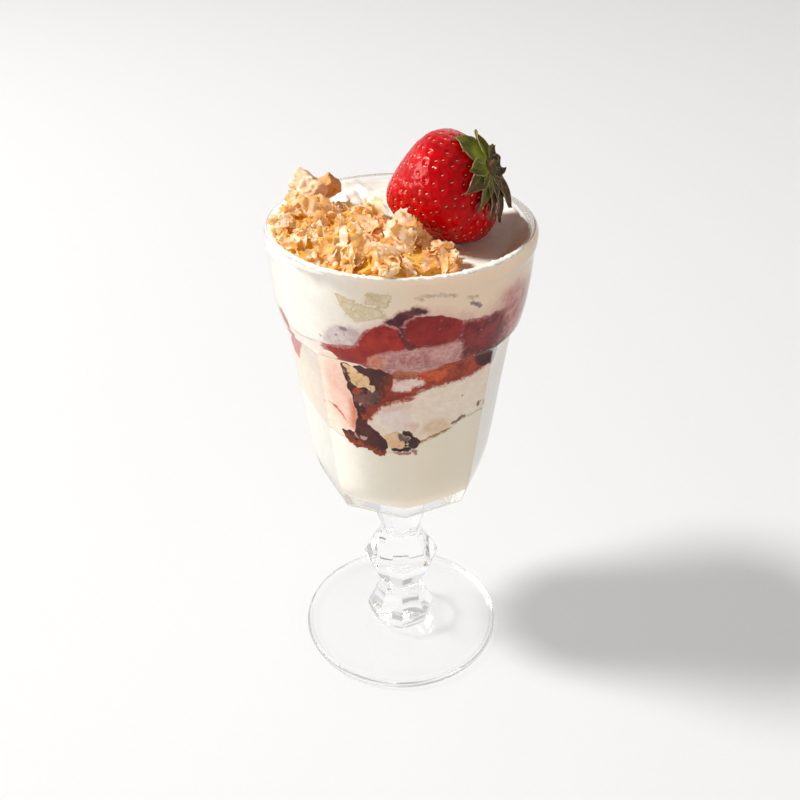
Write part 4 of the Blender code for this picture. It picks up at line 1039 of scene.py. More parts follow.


# %% [markdown]
# The sauce is fruit juice boiled down until it is nearly black, and orange-brown where it thins out at its
# edges. The biscuit is baked dough: pale tan, with its pits painted darker as painted shade.
# %% Dark sauce and the two biscuit pieces
SAUCE_DEPTH, SAUCE_CELL = 4.6, 0.26
BISCUIT_DEPTH, BISCUIT_CELL = 2.6, 0.2
OVER_CREAM, OVER_SAUCE = 0.05, 0.1  # how much farther than the cream they bite, so that each is seen in front
dark_sauce = build_wall_piece("dark_sauce", SAUCE_DEPTH, SAUCE_CELL, WALL_BITE + OVER_CREAM)
upper_biscuit = build_wall_piece("upper_biscuit", BISCUIT_DEPTH, BISCUIT_CELL, WALL_BITE + OVER_SAUCE)
lower_biscuit = build_wall_piece("lower_biscuit", BISCUIT_DEPTH, BISCUIT_CELL, WALL_BITE + OVER_SAUCE)
SAUCE_MARKS = [
    ("thin_sauce", "#B04A20", "#6E2816", 1.6, 3.6, 1.0), ("syrup", "#A03C22", "#862A17", 0.4, 1.4, 0.9),
    ("grey_sauce", "#8A5850", "#5A3A38", 0.8, 2.4, 0.85),
    ("red_crumb", "#B04A2C", "#96381F", 0.3, 1.2, 0.95),
    ("sauce_glint", "#D3A99B", "#B98B80", 0.2, 0.9, 0.9),
]
trace_marks(dark_sauce, [mark[0] for mark in SAUCE_MARKS])
SAUCE, SAUCE_FLECKS = ("#5C2A26", "#3A1A1C"), ("#8E5248", 700.0, 0.06)
syrupy = patched_finish("reduced fruit sauce", SAUCE, SAUCE_MARKS, [], 0.3, 0.0, SAUCE_FLECKS)
finish_piece(dark_sauce, syrupy)


def baked_finish(name, pale, golden, toasted, scale, chip=None):
    """Baked dough: a pale crumb, golden high spots and pits painted darker as painted shade, all at the size of
    the real pores.
    """
    finish, out = new_finish(name)
    place = own_place(finish)
    broad = clouds(finish, place, scale * 0.25, 3.0, 0.6)
    pores = clouds(finish, place, scale, 5.0, 0.7)
    tone = blend(finish, ramp(finish, broad, 0.36, 0.64), pale, golden)
    # The colour darkens where the bump below dips: painted shade in the pits.
    colour = blend(finish, ramp(finish, pores, 0.46, 0.30), tone, toasted)
    if chip:
        mark, chip_tone = chip
        away = math_node(finish, "SUBTRACT", stored(finish, mark), 1.5)
        torn_away = math_node(finish, "MULTIPLY_ADD", pores, 3.0, away)
        colour = blend(finish, ramp(finish, torn_away, 0.15, -0.15), colour, chip_tone)
    bump = add(finish, "Bump", Strength=0.7, Distance=0.5 * MM, Height=pores)
    body = add(finish, "BsdfPrincipled", Base_Color=colour, Roughness=0.75, Specular_IOR_Level=0.3,
               Subsurface_Weight=0.1, Subsurface_Radius=(1.0, 0.5, 0.2), Subsurface_Scale=0.8 * MM,
               Normal=bump.outputs[0])
    return complete(finish, out, body)


trace_marks(lower_biscuit, ["grey_chip"])
trace_marks(upper_biscuit, ["toasted_edge"])
finish_piece(upper_biscuit, baked_finish("biscuit soaked in cream", "#FBDDB0", "#E8BC84", "#8A5430", 900.0,
                                         chip=("toasted_edge", "#4E2A20")))
finish_piece(lower_biscuit, baked_finish("biscuit with a grey chip", "#F8D2A6", "#EDB680", "#8A5430", 900.0,
                                         chip=("grey_chip", "#6E5A55")))
for piece, node_name, slot_name in ((dark_sauce, "sauce_swirl", "sauce"),
                                    (upper_biscuit, "biscuit_piece_upper", "biscuit"),
                                    (lower_biscuit, "biscuit_piece_lower", "biscuit")):
    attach(piece, "root")
    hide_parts(node_name)

# %% [markdown]
# ## The strawberry
# It lies on its side, with its tip down at the left and its leaves at the right. Its form is a bent egg,
# swollen towards the leaves. A sphere is the start: every ring of it is moved to a cross-section of the
# berry.
# %% The berry's form
BERRY_CENTRE = Vector((15.8, -3.4, 175.0))
BERRY_HEADING, BERRY_RISE = math.radians(-18.9), math.radians(27.3)
BERRY_RADIUS, BERRY_TIP, BERRY_SHOULDER = 17.36, 20.4, 12.4
BERRY_FLATTENING, BERRY_FLAT_TURN = 0.083, math.radians(140.7)
BERRY_BEND, BERRY_BEND_TURN = 2.9, math.radians(121.8)
WIDEST = 1.47  # above 1 the berry is widest nearer to its leaves
POINTED, MORE_POINTED = 0.356, 0.296  # how pointed the tip is, and how much more the leafy end


def berry_frame():
    """The berry's own axes: z from the tip to the leaves, x level."""
    level_part = math.cos(BERRY_RISE)
    axis = Vector((level_part * math.cos(BERRY_HEADING), level_part * math.sin(BERRY_HEADING),
                   math.sin(BERRY_RISE)))
    level = Vector((0, 0, 1)).cross(axis).normalized()
    return Matrix((level, axis.cross(level), axis)).transposed()


def berry_section(part):
    """Centre and mean radius, in mm, at this part of the way from tip to leaves."""
    aside = BERRY_BEND * (2 * part - 1) ** 2
    centre = Vector((aside * math.cos(BERRY_BEND_TURN), aside * math.sin(BERRY_BEND_TURN),
                     -BERRY_TIP + (BERRY_TIP + BERRY_SHOULDER) * part))
    swell = max(math.sin(math.pi * part ** WIDEST), 0.0)
    return centre, BERRY_RADIUS * swell ** (POINTED + MORE_POINTED * part)


def berry_point(part, angle):
    """Point on the smooth skin in the berry's own axes, in mm."""
    centre, radius = berry_section(part)
    radius *= 1 + BERRY_FLATTENING * math.cos(2 * (angle - BERRY_FLAT_TURN))
    return centre + Vector((radius * math.cos(angle), radius * math.sin(angle), 0))


def berry_to_world(point):
    return (berry_frame() @ point + BERRY_CENTRE) * MM


def berry_outward(part, angle):
    """Direction straight out of the skin."""
    part = min(max(part, 0.02), 0.98)
    along = berry_point(part + 0.01, angle) - berry_point(part - 0.01, angle)
    around = berry_point(part, angle + 0.05) - berry_point(part, angle - 0.05)
    return around.cross(along).normalized()


# %% [markdown]
# Seeds sit in turning rows, each turned by the golden angle from the one before, as on the plant. They are
# spread by area so that they stay three to four millimetres apart, and each sits in a dimple of its own.
# %% Seeds and dimples
SEEDS = 330
DIMPLE_REACH, DIMPLE_DEPTH, DIMPLE_RIM = 0.95, 0.38, 0.12
GOLDEN_ANGLE = 2.39996
rng = random.Random(5)


def seed_places():
    """Part of the way and angle of each seed, evenly spread over the skin."""
    parts = np.linspace(0.004, 0.985, 400)
    areas = []
    for before, here in zip(parts, parts[1:]):
        low, high = berry_point(before, 0.7), berry_point(here, 0.7)
        areas.append((high - low).length * (berry_section(here)[1] + 0.6))
    share = np.concatenate([[0], np.cumsum(areas)]) / sum(areas)
    places = []
    for count in range(SEEDS):
        part = float(np.interp((count + 0.5) / SEEDS, share, parts)) + rng.uniform(-0.006, 0.006)
        places.append((part, count * GOLDEN_ANGLE + rng.uniform(-0.07, 0.07)))
    return places


seed_list = seed_places()
seed_spots = np.array([berry_point(part, angle) for part, angle in seed_list])


def build_berry():
    select_only()
    bpy.ops.mesh.primitive_uv_sphere_add(segments=224, ring_count=168, radius=1.0)
    berry = bpy.context.object
    berry.name = berry.data.name = "ripe_strawberry"
    spots, outs = [], []
    for vertex in berry.data.vertices:
        part = (vertex.co.z + 1) / 2
        angle = math.atan2(vertex.co.y, vertex.co.x)
        spots.append(berry_point(part, angle))
        outs.append(berry_outward(part, angle) if 0.004 < part < 0.996 else Vector((0, 0, 2 * part - 1)))
    spots = np.array(spots)
    away = np.min(np.linalg.norm(spots[:, None, :] - seed_spots[None, :, :], axis=2), axis=1)
    dent = DIMPLE_RIM * np.exp(-((away - 1.5 * DIMPLE_REACH) / (0.5 * DIMPLE_REACH)) ** 2)
    dent -= DIMPLE_DEPTH * np.exp(-(away / (0.62 * DIMPLE_REACH)) ** 2)
    for vertex, spot, out, depth in zip(berry.data.vertices, spots, outs, dent):
        lump = 0.16 * noise.noise(Vector(spot) * 0.35) + 0.05 * noise.noise(Vector(spot) * 1.1)
        vertex.co = berry_to_world(Vector(spot) + out * (depth + lump))
    layer = berry.data.attributes.new("from_seed", "FLOAT", "POINT")
    layer.data.foreach_set("value", away.astype(np.float32))
    return berry


# %% [markdown]
# Ripe skin is thin and glossy and lets red light through, so it is smooth and has a little subsurface. Round
# each seed the dimple's rim is painted lighter, a painted highlight, and the dimple's floor is painted darker,
# painted shade.
# %% Finish of the berry
def berry_skin_finish():
    finish, out = new_finish("ripe strawberry skin")
    place = own_place(finish)
    blotch = clouds(finish, place, 140.0, 3.0)
    fine = clouds(finish, place, 1500.0, 3.0)
    skin = blend(finish, ramp(finish, blotch, 0.35, 0.65), "#CE000E", "#A60008")
    from_seed = stored(finish, "from_seed")
    # Painted highlight on each dimple's rim, and painted shade in its floor.
    skin = blend(finish, ramp(finish, from_seed, 1.7, 0.8, 0.3), skin, "#CF0A14")
    skin = blend(finish, ramp(finish, from_seed, 0.7, 0.25, 0.6), skin, "#7C0008")
    bump = add(finish, "Bump", Strength=0.25, Distance=0.12 * MM, Height=fine)
    body = add(finish, "BsdfPrincipled", Base_Color=skin, Roughness=0.14, IOR=1.45, Specular_IOR_Level=0.24,
               Specular_Tint=linear("#FFB8B0"), Subsurface_Weight=0.15, Subsurface_Radius=(1.0, 0.08, 0.05),
               Subsurface_Scale=1.2 * MM, Normal=bump.outputs[0])
    return complete(finish, out, body)


def seed_finish():
    finish, out = new_finish("strawberry seed husk")
    mixed = clouds(finish, own_place(finish), 260.0, 1.0)
    tone = blend(finish, ramp(finish, mixed, 0.38, 0.62), "#F4C890", "#E2805E")
    body = add(finish, "BsdfPrincipled", Base_Color=tone, Roughness=0.35, Coat_Weight=0.3, Coat_Roughness=0.2)
    return complete(finish, out, body)


SEED_LENGTH, SEED_WIDTH, SEED_DEPTH = 0.42, 0.16, 0.15  # half of each, in mm
SEED_SINK = 0.22


def build_seeds():
    """One seed is an egg from a small sphere, and each copy is turned to point along the berry."""
    select_only()
    bpy.ops.mesh.primitive_ico_sphere_add(subdivisions=2, radius=1.0)
    model = bpy.context.object
    verts = [vertex.co.copy() for vertex in model.data.vertices]
    faces = [tuple(polygon.vertices) for polygon in model.data.polygons]
    points, all_faces = [], []
    turn = berry_frame()
    for part, angle in seed_list:
        outward = turn @ berry_outward(part, angle)
        along = turn @ (berry_point(min(part + 0.01, 1), angle) - berry_point(max(part - 0.01, 0), angle))
        along = (along - outward * along.dot(outward)).normalized()
        side = outward.cross(along)
        base = len(points)
        middle = berry_to_world(berry_point(part, angle)) + outward * -SEED_SINK * MM
        size = rng.uniform(0.85, 1.15)
        for v in verts:
            taper = 1 - 0.35 * v.z
            spot = along * v.z * SEED_LENGTH + side * v.x * SEED_WIDTH * taper + outward * v.y * SEED_DEPTH
            points.append(middle + spot * size * MM)
        all_faces += [tuple(base + number for number in face) for face in faces]
    bpy.data.objects.remove(model)
    mesh = bpy.data.meshes.new("strawberry_seeds")
    mesh.from_pydata(points, [], all_faces)
    seeds = bpy.data.objects.new("strawberry_seeds", mesh)
    bpy.context.scene.collection.objects.link(seeds)
    select_only(seeds)
    bpy.ops.object.mode_set(mode="EDIT")
    bpy.ops.mesh.select_all(action="SELECT")
    bpy.ops.mesh.normals_make_consistent(inside=False)
    bpy.ops.object.mode_set(mode="OBJECT")
    return seeds


berry = finish_piece(build_berry(), berry_skin_finish())
seeds = finish_piece(build_seeds(), seed_finish())
for piece in (berry, seeds):
    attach(piece, "root")
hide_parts("strawberry")

# %% [markdown]
# ## The crown of leaves
# Ten pointed leaves lie back on the berry round a short stalk. Each is a grid laid along the skin, narrowed
# to a point, notched at its edges, folded along its middle rib and lifted at the tip, then thickened.
# %% Leaves
LEAVES = [  # degrees round the berry, length, half width, lift of the tip, bluntness, dryness
    (112, 11.2, 3.7, 0.6, 9, 0.0), (66, 8.6, 2.2, 2.2, 4, 0.15), (22, 7.0, 1.9, 3.0, 4, 0.5),
    (160, 8.6, 2.1, 2.0, 9, 0.1), (182, 12.2, 2.7, 0.8, 3, 0.55), (212, 12.6, 2.0, 0.8, 3, 0.4),
    (242, 12.6, 2.6, 1.4, 3, 0.8), (275, 15.2, 2.8, 1.0, 3, 0.95), (300, 15.2, 2.4, 3.0, 3, 0.9),
    (340, 8.0, 2.6, 2.4, 6, 1.0),
]
LEAF_CLEARANCE = 0.5
LEAF_THICKNESS = 0.32
LEAF_STEPS, LEAF_COLUMNS = 22, 8
CROWN_RADIUS = 3.0
CROWN_STATIONS = [  # radius and height of the disc and the stalk over it
    (2.6, -0.3), (2.6, 0.3), (1.9, 0.8), (1.1, 1.2), (0.9, 1.5), (0.8, 2.0), (0.95, 2.5), (0.7, 2.7),
]
CROWN_SIDES = 20


def skin_walk(angle, arc):
    """Point this far along the skin from the leafy end, and the outward direction there."""
    part, walked = 1.0, 0.0
    point = berry_point(part, angle)
    while walked < arc and part > 0.01:
        part -= 0.004
        after = berry_point(part, angle)
        walked += (after - point).length
        point = after
    along = berry_point(part - 0.01, angle) - berry_point(min(part + 0.01, 1.0), angle)
    around = berry_point(part, angle + 0.05) - berry_point(part, angle - 0.05)
    return point, along.cross(around).normalized()


def build_leaf(number, degrees, length, half_width, lift, blunt, dryness):
    """blunt is high for a leaf that stays wide to its end, and dryness is 0 for green and 1 for brown."""
    select_only()
    bpy.ops.mesh.primitive_grid_add(x_subdivisions=LEAF_COLUMNS, y_subdivisions=LEAF_STEPS, size=1.0)
    leaf = bpy.context.object
    leaf.name = leaf.data.name = f"leaf_{number}"
    turn = math.radians(degrees)
    rib = leaf.data.attributes.new("rib", "FLOAT", "POINT")
    reach = leaf.data.attributes.new("reach", "FLOAT", "POINT")
    dry = leaf.data.attributes.new("dry", "FLOAT", "POINT")
    for vertex in leaf.data.vertices:
        side, part = vertex.co.x * 2, vertex.co.y + 0.5
        notch = 1 + 0.3 * abs(math.sin(9 * part + number)) * part ** 2
        notch += 0.15 * noise.noise((part * 7, number, side))
        width = half_width * (0.4 + 0.75 * math.sin(math.pi * part ** 0.8)) * (1 - part ** blunt) * notch
        width = max(width, 0.05)
        arc = CROWN_RADIUS * 0.6 + length * part
        middle, _ = skin_walk(turn, arc)
        from_axis = (middle - berry_section(0.9)[0]).to_2d().length
        skin, outward = skin_walk(turn + side * width / max(from_axis, 2.0), arc)
        fold = 1.0 * abs(side) ** 1.5 * math.sin(math.pi * part)
        wave = 0.5 * side * math.sin(8 * part + number) * part
        curl = 0.9 * noise.noise((part * 3, side * 1.4, number * 1.7)) * part
        rise = LEAF_CLEARANCE + lift * part * part + fold + wave + curl
        vertex.co = berry_to_world(skin + outward * rise)
        rib.data[vertex.index].value = abs(side)
        reach.data[vertex.index].value = part
        dry.data[vertex.index].value = dryness
    with_modifier(leaf, "SOLIDIFY", thickness=LEAF_THICKNESS * MM, offset=1.0)
    return leaf


def build_crown_base():
    """The small green disc and the cut stalk that the leaves grow from."""
    end, before = berry_section(1.0)[0], berry_section(0.94)[0]
    upward = (end - before).normalized()
    stand = upward.to_track_quat("Z", "Y")
    rings = []
    for radius, height in CROWN_STATIONS:
        ring = []
        for step in range(CROWN_SIDES):
            turn = math.tau * step / CROWN_SIDES
            lump = 1 + 0.12 * noise.noise((math.cos(turn) * 1.5, math.sin(turn) * 1.5, height * 0.6))
            spot = Vector((radius * lump * math.cos(turn), radius * lump * math.sin(turn), height))
            ring.append(berry_to_world(end + stand @ spot))
        rings.append(ring)
    base = grow_rings("crown_base", rings, berry_to_world(end), berry_to_world(end + upward * 2.6))
    for name, value in (("rib", 0.5), ("reach", 0.75), ("dry", 0.7)):
        layer = base.data.attributes.new(name, "FLOAT", "POINT")
        layer.data.foreach_set("value", [value] * len(base.data.vertices))
    return base


def leaf_finish():
    """Fresh leaf: matt green, yellower at its base and paler along its rib, brown where it has dried."""
    finish, out = new_finish("fresh strawberry leaf")
    place = own_place(finish)
    blotch = clouds(finish, place, 420.0, 4.0)
    rib, reach, dry = (stored(finish, name) for name in ("rib", "reach", "dry"))
    veins = clouds(finish, place, 1600.0, 2.0)
    patchy = ramp(finish, blotch, 0.35, 0.65)
    green = blend(finish, patchy, "#9EA63A", "#565C1E")
    green = blend(finish, ramp(finish, reach, 0.6, 0.05, 0.9), green, "#C0CC2C")
    brown = blend(finish, patchy, "#705030", "#2E2412")
    withered = ramp(finish, math_node(finish, "MULTIPLY_ADD", reach, 0.6, dry), 0.15, 1.0)
    green = blend(finish, withered, green, brown)
    green = blend(finish, ramp(finish, rib, 0.12, 0.0, 0.35), green, "#98A35A")
    green = blend(finish, ramp(finish, veins, 0.55, 0.68, 0.35), green, "#8C8458")
    # Paler edges: partly the fine hairs on them, partly painted light caught along the edges.
    edge = math_node(finish, "MULTIPLY", ramp(finish, rib, 0.86, 1.0, 0.7), patchy)
    green = blend(finish, edge, green, "#DCBE9E")
    bump = add(finish, "Bump", Strength=0.5, Distance=0.2 * MM, Height=blotch)
    body = add(finish, "BsdfPrincipled", Base_Color=green, Roughness=0.6, Specular_IOR_Level=0.2,
               Normal=bump.outputs[0])
    glow = add(finish, "BsdfTranslucent", Color=linear("#A9B82E"))
    lets_through = add(finish, "MapRange", Value=withered, _3=0.42, _4=0.08).outputs[0]
    mix = add(finish, "MixShader", _0=lets_through, _1=body.outputs[0], _2=glow.outputs[0])
    return complete(finish, out, mix)


leaves = [build_leaf(number, *leaf) for number, leaf in enumerate(LEAVES)]
crown = build_crown_base()
select_only(crown)
for leaf in leaves:
    leaf.select_set(True)
bpy.ops.object.join()
crown.name = "crown_of_leaves"
finish_piece(crown, leaf_finish())
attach(crown, "root")
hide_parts("strawberry_calyx")

# %% [markdown]
# ## The crumbs
# Crumbled flaky pastry: thin blistered sheets, broken into curled shards of one to eight millimetres, with
# small grains between them. A few shapes are modelled, then copied by the hundred over the heap, each copy
# turned, sized and toned by chance. The heap's hills repeat the solid's, so it keeps its outline.
# %% The form of the heap
HEAP_CENTRE = Vector((-14.0, -12.0))
HEAP_FLOOR = CREAM_LEVEL + 0.9
HEAP_OUTLINE = [  # degrees round, and how far the heap reaches
    (-150, 34.0), (-115, 31.0), (-75, 26.0), (-45, 24.0), (-25, 22.5), (5, 23.5), (40, 28.0), (70, 32.5),
    (88, 24.0), (115, 15.0), (150, 18.0), (180, 27.0),
]
HEAP_LIMIT = 37.4  # the heap never reaches farther than this from the glass's axis
HEAP_ROWS, HEAP_SIDES = 12, 72
HILLS = [  # x, y, height and reach
    (-33.5, -3, 5.2, 7), (-30, -13, 4.6, 7), (-30, 5.5, 8.4, 5.0), (-25, 6.5, 8.0, 5.0), (-14, -10, 4.8, 12),
    (-24, -14, 4.0, 9), (0.6, -19.0, 10.6, 4.8), (11.5, -24.5, 6.0, 4.4), (-5, -30, 6.4, 7), (-12, 6, 4.0, 7),
    (5, -24, 5.4, 6), (-26, 4, 5.6, 11),
]
CHUNK_CENTRE = Vector((-28.0, 12.0, 169.2))
CHUNK_SIZE = Vector((9.2, 6.4, 6.4))
CHUNK_TURN = (math.radians(-30), math.radians(24), math.radians(-22))  # tilt, roll and heading
SLAB_CENTRE = Vector((-22.2, 14.6, 168.4))
SLAB_SIZE = Vector((6.6, 4.2, 5.6))
SLAB_TURN = (math.radians(33), math.radians(50), math.radians(16))


def heap_height(x, y):
    """Height of the heap over its floor, in mm."""
    height = 1.6
    for hill_x, hill_y, top, spread in HILLS:
        away = ((x - hill_x) ** 2 + (y - hill_y) ** 2) / spread ** 2
        height = max(height, top * math.exp(-away))
    return height + 0.9 * noise.noise((x * 0.35, y * 0.35, 2.0))


def heap_place(angle, share):
    """Place on the plan at this share of the way to the heap's outline."""
    reach = smooth_between(HEAP_OUTLINE, math.degrees(angle)) * share
    place = HEAP_CENTRE + Vector((math.sin(angle), -math.cos(angle))) * reach
    return place.normalized() * HEAP_LIMIT if place.length > HEAP_LIMIT else place


def inside_berry(point, margin):
    """True where a point in mm lies in the berry, or nearer to its skin than the margin."""
    own = berry_frame().transposed() @ (point - BERRY_CENTRE)
    part = (own.z + BERRY_TIP) / (BERRY_TIP + BERRY_SHOULDER)
    if not -0.1 < part < 1.15:
        return False
    part = min(max(part, 0.0), 1.0)
    centre, _ = berry_section(part)
    angle = math.atan2(own.y - centre.y, own.x - centre.x)
    return (own - centre).to_2d().length < (berry_point(part, angle) - centre).to_2d().length + margin


def build_heap_core():
    """The middle of the heap, a little lower than the flakes that cover it, and seen in the gaps between them.
    """
    rings = []
    for row in range(HEAP_ROWS, 0, -1):
        share = row / HEAP_ROWS
        ring = []
        for step in range(HEAP_SIDES):
            place = heap_place(math.tau * step / HEAP_SIDES, share)
            height = (heap_height(*place) * (1 - share ** 9) - 0.4) + 0.5 * noise.noise((*(place * 0.9), 1.0))
            spot = Vector((place.x, place.y, HEAP_FLOOR + max(height, -0.4)))
            while inside_berry(spot, 0.5) and spot.z > HEAP_FLOOR - 0.3:
                spot.z -= 0.3
            ring.append(spot * MM)
        rings.append(ring)
    peak = Vector((*HEAP_CENTRE, HEAP_FLOOR + heap_height(*HEAP_CENTRE) - 0.4)) * MM
    return grow_rings("crumb_core", rings, Vector((*HEAP_CENTRE, HEAP_FLOOR - 0.6)) * MM, peak)


# %% [markdown]
# Flaky pastry breaks into thin fluted sheets with ragged borders. Each sheet starts as a small grid. Its
# corners are rounded off and its border torn, flutes run across it, and it is curled round its length. It
# stays a single sheet, because light has to pass through it once, as it does through a tenth of a
# millimetre of pastry. A grain is a rough little ball.
# %% Model the shards
def shape_of(piece):
    """Points and faces of a model, which is then put away."""
    shape = ([vertex.co.copy() for vertex in piece.data.vertices],
             [tuple(polygon.vertices) for polygon in piece.data.polygons])
    bpy.data.objects.remove(piece)
    return shape


def model_shard(seed, columns, rows):
    pick = random.Random(seed)
    select_only()
    bpy.ops.mesh.primitive_grid_add(x_subdivisions=columns, y_subdivisions=rows, size=2.0)
    shard = bpy.context.object
    aspect, curl = pick.uniform(0.5, 0.85), pick.choice((-1, 1)) * pick.uniform(0.25, 1.5)
    flutes, depth = pick.uniform(3.0, 6.0), pick.uniform(0.02, 0.05)
    twist, slant, start = pick.uniform(-0.5, 0.5), pick.uniform(-0.6, 0.6), pick.uniform(0, 6)
    for vertex in shard.data.vertices:
        x, y = vertex.co.x, vertex.co.y
        turn, far = math.atan2(y, x), max(abs(x), abs(y))
        torn = 1 + 0.3 * noise.noise((math.cos(turn) * 1.3, math.sin(turn) * 1.3, seed * 1.7))
        torn += 0.34 * noise.noise((math.cos(turn) * 3.7, math.sin(turn) * 3.7, seed * 0.9)) * far
        x, y = 0.5 * far * math.cos(turn) * torn, 0.5 * far * math.sin(turn) * torn * aspect
        lift = depth * math.sin(flutes * (x + slant * y) * 2 + start)
        lift += 0.05 * noise.noise((x * 3, y * 3, seed))
        around = y * curl * 2
        radius = 1 / (curl * 2) - lift
        y, z = radius * math.sin(around), 1 / (curl * 2) - radius * math.cos(around)
        vertex.co = (x, y, z + twist * x * y + 0.25 * curl * x * x)
    return shape_of(shard)


def model_grain(seed):
    select_only()
    bpy.ops.mesh.primitive_ico_sphere_add(subdivisions=2, radius=0.5)
    grain = bpy.context.object
    for vertex in grain.data.vertices:
        vertex.co *= 1 + 0.55 * noise.noise(vertex.co * 3.2 + Vector((seed, 2, 5)))
    return shape_of(grain)


fine_shards = [model_shard(k, 16, 10) for k in range(8)]
shards = [model_shard(20 + k, 10, 7) for k in range(14)]
small_shards = [model_shard(60 + k, 6, 4) for k in range(8)]
grains = [model_grain(k * 3.7) for k in range(5)]
print("shards:", len(fine_shards + shards + small_shards), "and grains:", len(grains))


# %% [markdown]
# Most copies lie on the heap's slopes. Some stand side by side in fans, as the torn layers of one pastry
# do, and some lie round a ball like petals. A copy is skipped where it would cut the glass, the berry or
# the big chunk. Its tone is stored on its points, so that one material can make some shards pale and some
# well browned.
# %% Where a copy lies
BERRY_ROOM, CHUNK_ROOM, WALL_ROOM = 0.35, 4.6, 0.15  # mm kept clear of each
SINK_LIMIT = 1.4  # mm a copy may reach into the cream
RIM_TOP, RIM_REACH = 163.9, 40.6  # above the rim a copy may reach this far out
SLOPE_STEP = 0.6
BROWNED = [  # x, y, reach and how much, where the oven caught them
    (-7.0, -3.5, 5.0, 0.9), (-4.8, 1.6, 3.0, 0.9), (11.5, -25.0, 4.5, 0.7), (7.5, -21.5, 3.5, 0.6),
    (-27.0, 6.5, 5.0, 0.3), (-9.0, -9.0, 4.0, 0.2),
]


def clear_of_others(points):
    for point in points:
        from_chunk = min((point - CHUNK_CENTRE).length, (point - SLAB_CENTRE).length)
        if inside_berry(point, BERRY_ROOM) or from_chunk < CHUNK_ROOM or point.z < HEAP_FLOOR - SINK_LIMIT:
            return False
        limit = wall_radius(point.z) - WALL_ROOM if point.z < RIM_TOP else RIM_REACH
        if math.hypot(point.x, point.y) > limit:
            return False
    return True


def lying_on(pick, outward, lean):
    """The turn of a copy that lies on a slope, spun by chance and leaning a little."""
    turn = outward.to_track_quat("Z", "Y").to_matrix() @ Matrix.Rotation(pick.uniform(0, math.tau), 3, "Z")
    return turn @ Matrix.Rotation(pick.gauss(0, lean), 3, "X") @ Matrix.Rotation(pick.gauss(0, lean), 3, "Y")


def on_the_slope(pick, edge, lean, sink):
    """Place and turn of a copy on the heap. edge is how far out they go, sink how deep they lie."""
    angle = pick.uniform(0, math.tau)
    share = math.sqrt(pick.random()) * edge
    x, y = heap_place(angle, share)
    height = heap_height(x, y) * (1 - min(share, 1.0) ** 9) - pick.uniform(*sink)
    slope = Vector((heap_height(x - SLOPE_STEP, y) - heap_height(x + SLOPE_STEP, y),
                    heap_height(x, y - SLOPE_STEP) - heap_height(x, y + SLOPE_STEP), 2 * SLOPE_STEP))
    return Vector((x, y, HEAP_FLOOR + height)), lying_on(pick, slope.normalized(), lean)


def in_a_fan(pick, x, y, height, bearing, _, spread):
    """Place and turn of a copy that stands beside its neighbours, nearly parallel to them."""
    bearing = math.radians(bearing + pick.gauss(0, 14))
    aside = pick.uniform(-1, 1)
    place = Vector((x + spread * aside * math.cos(bearing), y + spread * aside * math.sin(bearing)))
    height += pick.gauss(0, 0.5) - 0.8 * abs(aside) * spread * 0.5
    turn = Matrix.Rotation(bearing, 3, "Z") @ Matrix.Rotation(aside * 0.5 + pick.gauss(0, 0.15), 3, "Y")
    turn = turn @ Matrix.Rotation(math.radians(90) + pick.gauss(0, 0.3), 3, "Y")
    turn = turn @ Matrix.Rotation(pick.gauss(0, 0.5), 3, "Z")
    return Vector((place.x, place.y, HEAP_FLOOR + height)), turn


def round_a_lump(pick, x, y, z, radius, _):
    """Place and turn of a copy that lies round a ball like a petal."""
    outward = Vector((pick.gauss(0, 1), pick.gauss(-0.5, 1), pick.gauss(0.5, 1))).normalized()
    middle = Vector((x, y, z)) + outward * radius * pick.uniform(0.75, 1.0)
    return middle, lying_on(pick, outward, 0.35)


def tone_at(pick, middle):
    tone = pick.random()
    for x, y, reach, more in BROWNED:
        tone += more * math.exp(-((middle.x - x) ** 2 + (middle.y - y) ** 2) / reach ** 2)
    return min(tone, 1.0)


# %% [markdown]
# The copies are drawn one after another from a seeded row of chances, so the heap comes out the same each
# time. Lumps come first, then fans, and the rest is scattered over the slopes until there are enough.
# %% Scatter them over the heap
PETAL_SIZE = 0.85


def scatter(name, shapes, count, sizes, lean, sink, seed, edge=1.0, fans=(), lumps=()):
    """Copies of the shapes over the heap, joined into one mesh. A fan is (x, y, height, bearing, leaves,
    spread) and a lump is (x, y, z, radius, leaves)."""
    pick = random.Random(seed)
    points, faces, tones = [], [], []
    placed = tries = 0
    waiting = [fan for fan in fans for _ in range(fan[4])]
    petals = [lump for lump in lumps for _ in range(lump[4])]
    while placed < count and tries < count * 12:
        tries += 1
        verts, polygons = shapes[pick.randrange(len(shapes))]
        size = sizes[0] + (sizes[1] - sizes[0]) * pick.random() ** 1.6
        if petals:
            middle, turn = round_a_lump(pick, *petals.pop())
            size *= PETAL_SIZE
        elif waiting:
            middle, turn = in_a_fan(pick, *waiting.pop())
        else:
            middle, turn = on_the_slope(pick, edge, lean, sink)
        spots = [middle + turn @ (v * size) for v in verts]
        tone = tone_at(pick, middle)
        if not clear_of_others(spots):
            continue
        base = len(points)
        points += [spot * MM for spot in spots]
        faces += [tuple(base + number for number in polygon) for polygon in polygons]
        tones += [tone] * len(spots)
        placed += 1
    mesh = bpy.data.meshes.new(name)
    mesh.from_pydata(points, [], faces)
    layer = mesh.attributes.new("tone", "FLOAT", "POINT")
    layer.data.foreach_set("value", tones)
    piece = bpy.data.objects.new(name, mesh)
    bpy.context.scene.collection.objects.link(piece)
    print(name, "placed", placed, "of", tries, "tries")
    return piece


